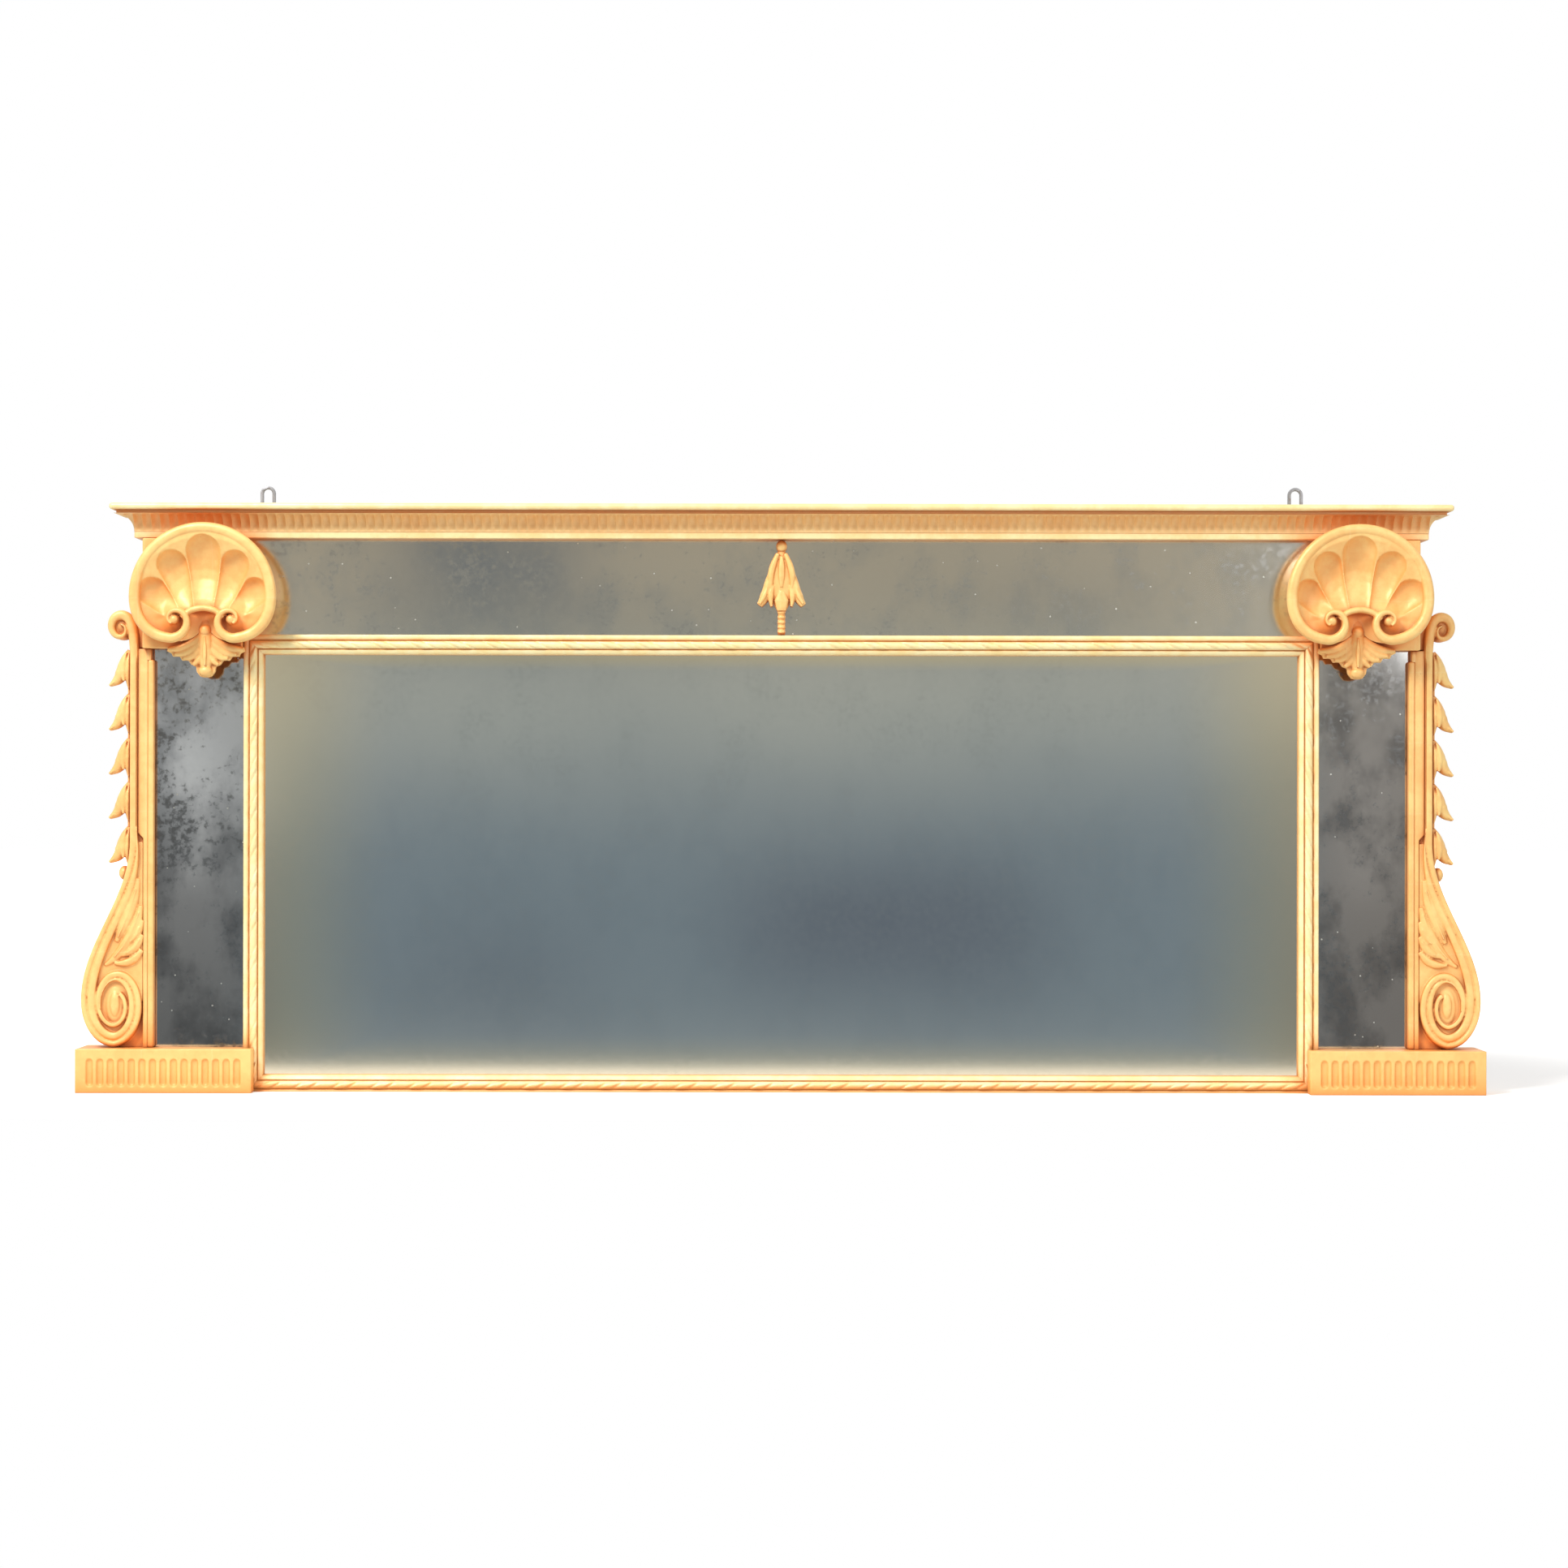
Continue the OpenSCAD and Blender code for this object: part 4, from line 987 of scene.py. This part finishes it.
# %% Fillets and corner blocks: the frame's own solids with their edges eased
def copy_of(node):
    """A copy of a solid of the frame, with its loose triangles merged into whole faces."""
    solid = bpy.data.objects.new(node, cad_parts[node].data.copy())
    bpy.context.scene.collection.objects.link(solid)
    in_edit(
        solid,
        lambda: bpy.ops.mesh.remove_doubles(threshold=0.01 * MM),
        lambda: bpy.ops.mesh.dissolve_limited(angle_limit=math.radians(0.5)),
    )
    return solid


for node, round_r, slot in (
    ("cornice_fillet_front", 0.9, "gilt_cornice"),
    ("cornice_fillet_left", 0.9, "gilt_cornice"),
    ("cornice_fillet_right", 0.9, "gilt_cornice"),
    ("corner_block_left", 1.5, "gilt_carving"),
    ("corner_block_right", 1.5, "gilt_carving"),
):
    fit(eased(copy_of(node), round_r, 5), node, slot)

# %% [markdown]
# ## Plinths
#
# Each console stands on a block with fifteen round-ended flutes. The solid of the frame already
# has them, cut with a machine's sharpness. A voxel remesh of a merged copy and a little smoothing
# turn it into something cut with a gouge and then covered with gesso.

# %% Plinths
plinth = carve("plinth", [copy_of("plinth_right")], 0.95, 9)
fit_pair(plinth, "plinth", "gilt_plinth")

# %% [markdown]
# ## Shells
#
# A shell covers each corner where the frieze meets the stile. It is a dish with a broad rolled
# rim, five hollow lobes that fan out from a hub, and two volutes where the rim rolls in below.
# The dish is a skin whose rings run from the hub to the outline, and each lobe is a scoop with a
# round end taken out of it. The rim is one long stroke that starts in one eye, goes over the top
# and ends in the other eye.

# %% The outline and the dish of the shell
shell_r = (high("shell_right").x - low("shell_right").x) / 2
x_shell = (high("shell_right").x + low("shell_right").x) / 2
z_shell = high("shell_right").z - shell_r
hub_z = -14
foot = 0.86
dish_in = 1.4
volute_x = 31
volute_z = -26

# Each lobe runs from a start point to the middle of its round end, with a half width at both.
lobes = (
    ((0, -16), (0, 48.5), (11, 18.8)),
    ((17, -18), (34.5, 34), (8, 16.2)),
    ((30, -22), (56, 4.5), (7.5, 15.6)),
)


def shell_edge(a):
    """Distance from the middle of the shell to its outline at the angle a."""
    drawn = np.clip(-np.sin(a), 0, 1) ** 3
    from_foot = (np.degrees(a) % 360 - 270) / 13
    return shell_r * (1 - 0.42 * drawn) * (1 - 0.2 * np.exp(-(from_foot**2)))


ridge_r = 78
ridge = keyed(22, 20.5, 17.5, 15, 15.5, 19, 25, 30.5)
gouge = keyed(4, 4.6, 5.2, 6, 7.2, 8.6, 9.4)
# Below the lobes the dish drops to a low floor, over a few degrees and only near the hub.
floor_from, floor_over, floor_low = 95, 9, 9.5
near_hub, hub_fade = 36, 22
swell_high, swell_r = 25, 17


def shell_height(x, z):
    """Height of the dish above the block, with its lobes scooped out and a swell at each volute."""
    r = np.hypot(x, z - hub_z)
    bearing = np.arctan2(x, z - hub_z)
    scoop = 0 * r
    for start, end, width in lobes:
        length = math.dist(start, end)
        ux, uz = (end[0] - start[0]) / length, (end[1] - start[1]) / length
        p = (np.abs(x) - start[0]) * ux + (z - start[1]) * uz
        q = (np.abs(x) - start[0]) * uz - (z - start[1]) * ux
        half = width[0] + (width[1] - width[0]) * np.clip(p / length, 0, 1)
        inside = np.clip(1 - np.hypot(p - np.clip(p, 0, length), q) / half, 0, 1)
        deep = gouge(np.clip(p / (length + width[1]), 0, 1))
        scoop = np.maximum(scoop, deep * (1 - (1 - inside) ** 2.4) ** 0.62)
    level = ridge(r / ridge_r) - scoop
    below = soft((np.abs(np.degrees(bearing)) - floor_from) / floor_over)
    level = level + (floor_low - level) * below * (1 - 0.95 * soft((r - near_hub) / hub_fade))
    from_volute = np.hypot(np.abs(x) - volute_x, z - volute_z)
    swell = np.exp(-((from_volute / swell_r) ** 2))
    return np.clip(level + (swell_high - level) * swell, 1, 31)


def dish(u, v):
    """The dish as a closed skin: hub to outline, down the wall to the foot and back to the middle."""
    a = math.pi / 2 + 2 * math.pi * u
    edge_r = shell_edge(a) - dish_in
    out, down, back = part_way(v, 0, 0.8), part_way(v, 0.8, 0.12), part_way(v, 0.92, 0.08)
    x = out * (edge_r * np.cos(a))
    z = hub_z * (1 - out) + out * (edge_r * np.sin(a))
    height = shell_height(x, z) * (1 - down)
    x, z = [value * (1 - (1 - foot) * down) * (1 - back) for value in (x, z)]
    return x_shell + x, z_shell + z, t_block + 0.05 + height


# %% The rim, the volutes and the hood
volute_r = 20.2
winding = 0.0042
rim_in = 6.2
rim_nearer = 0.6


def beside(points, side=RIGHT):
    """Points given from the middle of the right-hand shell."""
    return [(x_shell + side * x, z_shell + z) for x, z in points]


def rim_half():
    """From the top of the rim, down the right and in to the eye of the volute."""
    line = []
    for a in np.radians(np.linspace(90, -50.5, 30)):
        inset = rim_in - rim_nearer * (1 - soft((math.degrees(a) + 45) / 60))
        line.append(((shell_edge(a) - inset) * math.cos(a), (shell_edge(a) - inset) * math.sin(a)))
    for k in np.linspace(-8, 330, 34):
        r, turn = volute_r * math.exp(-winding * k), math.radians(k)
        line.append((volute_x - r * math.sin(turn), volute_z - r * math.cos(turn)))
    return line


def both_ways(half):
    """From the far end of a half to the middle and out again."""
    return half[::-1] + half[1:]


rim = beside(rim_half(), LEFT)[::-1] + beside(rim_half())[1:]
rim_w = [6] * 7 + [5.8, 4.8, 3.4, 1.6]
rim_t = [76.8] * 7 + [77, 77.5, 77.5, 77]
rim_half_t = [6] * 7 + [6.2, 5.8, 5.2, 4.4]
hood = [(23, -24), (18, -19), (11, -15), (0, -13), (-11, -15), (-18, -19), (-23, -24)]
parts = [
    skin("dish", 230, 110, dish),
    stroke("rim", rim, both_ways(rim_w), both_ways(rim_half_t), both_ways(rim_t), 420, 24, 2.3),
    stroke("hood", beside(hood), 3.4, 5, 75.5, 70, 16),
]
for side in (LEFT, RIGHT):
    x_eye = x_shell + side * volute_x
    parts.append(ball("eye", x_eye, z_shell + volute_z, t_block + 25.5, 5.8, 5.8, 6.4))
fit_pair(carve("shell", parts, 0.87, 4), "shell")

# %% [markdown]
# ## Pendants under the shells
#
# A broad acanthus leaf hangs below each shell: a stalk with a boss between the volutes, a body
# that swells to its tip, and lobes that spread to both sides. Thin veins over the broad strokes
# are the marks of the gouge.

# %% Pendants
leaf_t = t_block + 6
half_web = [(8, -26), (9, -44), (19, -51), (32, -53), (42, -55.5), (43, -60), (38, -62.5),
            (36.5, -66), (29, -66), (26, -70.5), (19.5, -70), (16, -75), (11, -77), (10, -83),
            (6, -88), (2, -89)]
web = beside(half_web + [(-x, z) for x, z in half_web[::-1]])
sprays = (
    ([(6, -44), (16, -52), (27, -56.5), (35, -57.5), (41.5, -58)], (5, 5.5, 5, 4.4, 2),
     (4, 4.6, 4, 3.6, 2.4)),
    ([(6, -50), (15, -58), (24, -62.5), (34, -63.5)], (5, 5, 4.4, 2), (4, 4.4, 3.6, 2.4)),
    ([(5, -57), (12, -64), (18, -67.5), (24.5, -68)], (5, 5, 4, 2), (4, 4.4, 3.6, 2.4)),
    ([(3, -64), (8, -71), (14, -75)], (4, 4.4, 2.2), (4, 4.4, 2.4)),
)
parts = [
    cut_out("web", web, (t_block + 0.5, leaf_t + 0.5)),
    stroke("body", beside([(0, -17), (0, -36), (0, -52), (0, -68), (0, -84)]),
           (8, 9, 9, 9.4, 8, 7, 5), (6, 8, 8, 8, 7, 6.4, 4.6),
           (leaf_t - 5, leaf_t - 1, leaf_t, leaf_t, leaf_t)),
    ball("boss", x_shell, z_shell - 37, leaf_t + 4.5, 6.6, 6.2, 5.8),
    ball("tip", x_shell, z_shell - 82, leaf_t + 1.5, 7.6, 6.6, 7),
    stroke("rib", beside([(0, -44), (0, -56), (0, -66), (0, -76)]), (1, 2.4, 2.2, 1),
           (2, 2.4, 2.4, 1.6), leaf_t + 7, 40, 14),
]
for side in (LEFT, RIGHT):
    for points, width, thick in sprays:
        parts.append(stroke("lobe", beside(points, side), width, thick, leaf_t + 1, 40, 18))
fit_pair(carve("pendant", parts, 0.8, 3), "shell_pendant")

# %% [markdown]
# ## Consoles
#
# A console runs down each side. A slim shaft ends above in a small scroll and sweeps out below to
# a large one that stands on the plinth. Two raised bands follow its outer edge and wind in
# together to an oval eye, and an acanthus leaf fills the hollow between the bands and the shaft.
# The flat ground is cut from an outline. The bands are one skin along the same edge: its section
# is two rounds with a groove between them, and its width follows the stage, which counts the
# height down to the scroll and then the degrees of the turn.

# %% The edge of the console and its scrolls
x_sweep = high("console_right").x
sweep_h = 176
half_w, half_h = 38, 52
x_scroll, z_scroll = x_sweep - half_w, z_plinth + half_h
z_shaft = z_scroll + sweep_h
x_top, z_top = x_edge + 10, high("console_right").z - 19.5
t_ground = 36
t_hollow = 38.8
t_foot = 12
turn_step = 9
eye_sink = 4


def sweep_x(z):
    """How far out the edge is at the height z of the sweep."""
    return x_edge + (x_sweep - x_edge) * (1 - math.cos(math.pi * (z_shaft - z) / sweep_h)) / 2


turns = [0, 90, 180, 270, 360, 450, 540, 630]
shrink = [1, 1, 0.8, 0.64, 0.56, 0.5, 0.4, 0.3]


def edge(inset, to_angle, start=z_top - 20):
    """Down the shaft and the sweep, then round the scroll, inset millimetres in from the edge.

    The inset may be a function of the stage: the height down to the scroll, then minus the turn."""
    inwards = inset if callable(inset) else lambda stage: inset
    line = [(x_edge - inwards(z), z) for z in np.arange(start, z_shaft, -15)]
    sweep = np.linspace(min(start, z_shaft), z_scroll, 30)[:-1]
    line += [(sweep_x(z) - inwards(z), z) for z in sweep]
    for a in np.arange(0, to_angle, turn_step):
        wind = np.interp(a, turns, shrink)
        inset_now = inwards(-a) * wind**0.7
        sink = eye_sink * min(max((a - 270) / 180, 0), 1)
        across, up = math.cos(math.radians(a)), math.sin(math.radians(a))
        line.append((x_scroll + (half_w * wind - inset_now) * across,
                     z_scroll - sink - (half_h * wind - inset_now) * up))
    return line


beside_block = x_block + 0.4
ground = [(x_lap, z_shaft), (x_band, z_shaft + 20), (x_band, z_block + 1),
          (beside_block, z_block + 1), (beside_block, z_top + 2), (x_edge, z_top + 2)]
ground += edge(0.8, 182, z_shaft)
corner = [(x_lap + 0.2, z_plinth + 0.1), (x_scroll - 4, z_plinth + 0.1),
          (x_scroll - 4, z_plinth + 12), (x_scroll - 20, z_plinth + 24), (x_lap + 0.2, z_scroll)]
back = edge(1.4, 112, z_shaft - 30)
back = [(x_edge + 0.3, z_shaft - 30)] + back + [(x_edge + 0.3, z_plinth + 2)]
print("points on the edge:", len(ground))

# %% Bands, eye and leaf of the console
shaft_band, groove_at, wide, eye_band = 8.3, 6.9, 16.6, 5
band_edge = 0.6
band_round = 3.6
band_steps = 24
last_turn = 600
t_band = t_console - 3.7


def band_width(stage):
    """Full width of the bands: one runs down the shaft, two through the sweep, one into the eye."""
    stages = [-z_shaft - 10, -z_shaft + 60, 240, 390, last_turn]
    return np.interp(-stage, stages, [shaft_band, wide, wide, groove_at, eye_band])


def bands(u, v):
    """The two bands as one skin: its section is two rounds with a groove between them."""
    k = u * band_steps
    round_1, round_2 = part_way(k, 2, 8), part_way(k, 10, 8)
    full = np.interp(v, share, widths)
    first = np.interp(full, [eye_band, shaft_band, wide], [eye_band, shaft_band, groove_at])
    d = first * (1 - np.cos(math.pi * round_1)) / 2
    d = d + (full - first) * (1 - np.cos(math.pi * round_2)) / 2
    lift = np.where(k < 10, np.sin(math.pi * round_1), np.sin(math.pi * round_2)) ** 0.8
    t = t_band + band_round * lift
    t = np.where((k < 1) | (k > 19), t_face + 1, t)
    d = np.where(k > 18.5, full * np.clip((band_steps - k) / 5, 0, 1), d)
    c = d / full
    x, z = [
        np.interp(v, share, outside[:, i]) * (1 - c) + np.interp(v, share, inside[:, i]) * c
        for i in (0, 1)
    ]
    return x, z, t


outside = np.array(edge(band_edge, last_turn))
inside = np.array(edge(lambda stage: band_edge + band_width(stage), last_turn))
share = shares(outside)
widths = np.hypot(*(outside - inside).T)
top_curl = ((-13, -3), (-10, 7.6), (-2, 12.8), (7, 10), (10.8, 0), (7.4, -9.4), (-0.6, -12.8),
            (-6.4, -8), (-5.6, 0), (-0.6, 2))
top_scroll = [(x_edge - 4.8, z_top - 46), (x_edge - 5.4, z_top - 18)]
top_scroll += [(x_top + x, z_top + z) for x, z in top_curl]
# Each row: points, half widths, half depths and distance from the back.
leaves = (
    ([(712, 236), (715, 218), (722, 198), (730, 180), (736, 166)], (2.4, 5.4, 7.6, 7.2, 3),
     (3, 5, 6, 5, 3), 38),
    ([(709, 206), (713, 188), (721, 171), (731, 155), (742, 144), (749, 140)],
     (3, 5.6, 7, 6.6, 5, 2.2), (4, 5, 6, 5, 4, 3), 38),
    ([(708, 190), (712, 177), (719, 167), (726, 163)], (3, 5, 4.6, 2), (3, 5, 5, 3), 38.6),
    ([(708, 174), (713, 162), (722, 154), (732, 151)], (3, 5.2, 5, 2.2), (3, 5, 5, 3), 38.6),
    ([(708, 157), (715, 147), (726, 142), (738, 142)], (3, 5, 4.6, 2), (3, 4.6, 4.6, 3), 38.6),
)
leaf_veins = (
    [(714, 224), (720, 203), (728, 184), (734, 171)],
    [(711, 198), (717, 180), (727, 162), (738, 149)],
    [(710, 182), (714, 172), (720, 166)],
    [(710, 168), (716, 158), (725, 153)],
)
hollow = [(x_lap + 0.1, z_scroll), (x_lap + 0.1, z_shaft)]
hollow += edge(lambda stage: band_edge + band_width(stage) - 1.6, 185, z_shaft)
parts = [
    cut_out("ground", ground, (t_face + 0.05, t_ground)),
    cut_out("hollow", hollow, (t_face + 0.1, t_hollow)),
    cut_out("foot", back, (t_foot, t_face + 1)),
    cut_out("corner", corner, (t_face + 0.05, t_face + 4)),
    skin("bands", band_steps, 620, bands),
    ball("eye_ring", x_scroll - 0.5, z_scroll - 5, 38, 11, 21.5, 3.4),
    ball("scroll_eye", x_scroll - 0.5, z_scroll - 4, 39, 6.2, 15, 5),
    stroke("top_band", top_scroll, [4, 4.6, 5.4] + [5.8] * 4 + [5, 4.2, 3.2, 2.2, 1.4],
           6.2, 37.6, 160, 20, 2.4),
    ball("top_ground", x_top - 1, z_top, 26, 14.4, 15.4, 13.4),
]
parts += [stroke("leaf", *row, 50, 18) for row in leaves]
parts += [stroke("vein", points, (0.8, 1.7, 1.7, 0.7), 2.2, 42, 40, 12) for points in leaf_veins]
fit_pair(carve("console", parts, 0.81, 7), "console")

# %% [markdown]
# ## Husks
#
# A chain of bellflower husks hangs down the outer edge of each console, each one tucked into the
# mouth of the one above it. One husk is carved from five strokes, and copies of it make the
# chain.

# %% Husks
husk_pitch = 49
husk_count = 5
husk_t = 30
z_husk = high("husks_right").z


def husk_at(points):
    """Points given from the top of the chain."""
    return [(x_edge + x, z_husk + z) for x, z in points]


husk_strokes = (
    ("petal", [(2, -2), (5.4, -9), (8, -18), (9.6, -27), (14.5, -35), (23.5, -41)],
     (2.2, 4.9, 6.8, 7.6, 5.4, 1.8), (3, 8, 10, 9, 6, 2.4), 0, 60, 20),
    ("cheek", [(0.8, -2), (1.6, -12), (2.4, -24), (2.2, -36), (1.8, -44)],
     (1.6, 3.4, 4.6, 4, 1.4), (3, 8, 9, 7, 3), 2.5, 50, 18),
    ("front_petal", [(4, -5), (6.6, -14), (7.4, -25), (6.6, -36)],
     (1.2, 3.6, 4.2, 1.6), (2, 3.4, 3.4, 2), 7.6, 40, 14),
    ("curl", [(13, -33.5), (18.5, -37.5), (24, -41)], (2, 2.4, 1.4), (3, 4, 2.4), 1.5, 24, 14),
    ("stem", [(1.9, -38), (1.9, -53)], 1.9, 2.2, 0, 16, 14),
)
husk = carve("husk", strokes(husk_strokes, husk_at, husk_t), 0.7, 2)
chain = [husk]
for i in range(1, husk_count):
    pick(husk)
    bpy.ops.object.duplicate()
    bpy.ops.transform.translate(value=(0, 0, -i * husk_pitch * MM))
    bpy.ops.object.transform_apply()
    chain.append(bpy.context.object)
z_bud = z_husk - husk_count * husk_pitch - 4
chain.append(ball("bud", sweep_x(z_bud) + 2, z_bud, husk_t, 6.4, 8, 8))
husks = join("husks", chain)
smooth_shade(husks, 75)
fit_pair(husks, "husks")

# %% [markdown]
# ## Leaf drop
#
# In the middle of the frieze a bell of leaves hangs from a bead. Its outer petals flare at the
# tips, the short strokes over its body leave the small hollows of ruffled leaves, and a beaded
# stem goes down to the moulding.

# %% Leaf drop
drop_low, drop_high = z_frieze, z_fillet
t_drop = t_face + 4.5
bead_pitch = 5.4
body_strokes = (
    ("body", [(0, 600), (0, 584), (0, 566), (0, 550), (0, 533)],
     (4, 10.5, 13.5, 14.2, 13.4, 10.5, 4.4), (4, 6, 6.5, 6.5, 6, 5, 4), 0),
    ("keel", [(0, 594), (0, 582), (0, 570), (0, 560)], (2, 4, 4, 2), (2, 3.6, 3.6, 2), 5.4, 40, 14),
    ("apron", [(0, 556), (0, 545), (0, 534)], (4, 8.4, 5), (3, 4, 2.4), 4, 40, 16),
)
petal_strokes = (
    ("petal", [(4, 597), (9.4, 584), (12.4, 571), (11, 558)],
     (2.4, 3.8, 3.8, 1.6), (3, 3.6, 3.6, 2), 4.6, 40, 16),
    ("flared_petal", [(9, 582), (14, 567), (16.4, 554), (20, 546), (24.4, 540)],
     (2.4, 4, 5, 5.8, 3.4), (3, 4.6, 5, 4, 2.4), 1.5, 40, 16),
    ("ruffle", [(9.5, 562), (12.6, 551), (11, 538.5)], (2.4, 3.8, 1.4), (2, 3.4, 2), 4.2, 40, 16),
    ("ruffle", [(15.5, 560), (19, 550), (24, 541.5)], (1.4, 3, 1.4), (2, 3.2, 2), 4.4, 40, 16),
)
parts = [ball("bead", 0, drop_high - 7.2, t_drop + 1.5, 6, 7, 6)]
parts += strokes(body_strokes, list, t_drop)
parts.append(stroke("stem", [(0, 540), (0, drop_low + 1)], (4, 4.2), 4, t_face + 3.4, 40, 16))
for side in (LEFT, RIGHT):
    parts += strokes(petal_strokes, lambda points: [(side * x, z) for x, z in points], t_drop)
for i in range(6):
    parts.append(ball("stem_bead", 0, drop_low + 4 + i * bead_pitch, t_face + 5, 4.5, 2.9, 4.2))
fit(carve("drop", parts, 0.65, 3), "leaf_drop", "gilt_carving")

# %% [markdown]
# ## Hangers
#
# Two steel plates are screwed to the back of the top rail, and each has an eye for a wall screw.
# They are stamped from sheet, so a copy of the solid with lightly rounded edges is right.

# %% Hangers
for node in ("hanger_left", "hanger_right"):
    fit(eased(copy_of(node), 0.5, 2), node, "steel")

# %% [markdown]
# ## Finishes of the solids that stay
#
# The carcass, the plates, the dowels and the blocks behind the glass already have their true
# shape, so the solids of the frame stay and only get a finish. The grain of the pine follows the
# length of each piece.

# %% Finishes of the frame's own solids
finishes = {
    "mirror_plate_main": main_glass,
    "mirror_plate_side": side_glass,
    "mirror_plate_frieze": frieze_glass,
    "backboard_screws": steel,
    "hanger_screws": steel,
    "backboard": pine_board,
    "stile": pine_post,
    "muntin": pine_post,
    "plate_blocks_side": pine_post,
}
for node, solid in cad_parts.items():
    finish = next((finishes[stem] for stem in finishes if node.startswith(stem)), pine_rail)
    for place in solid.material_slots:
        place.material = finish
print("solids finished:", len(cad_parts))
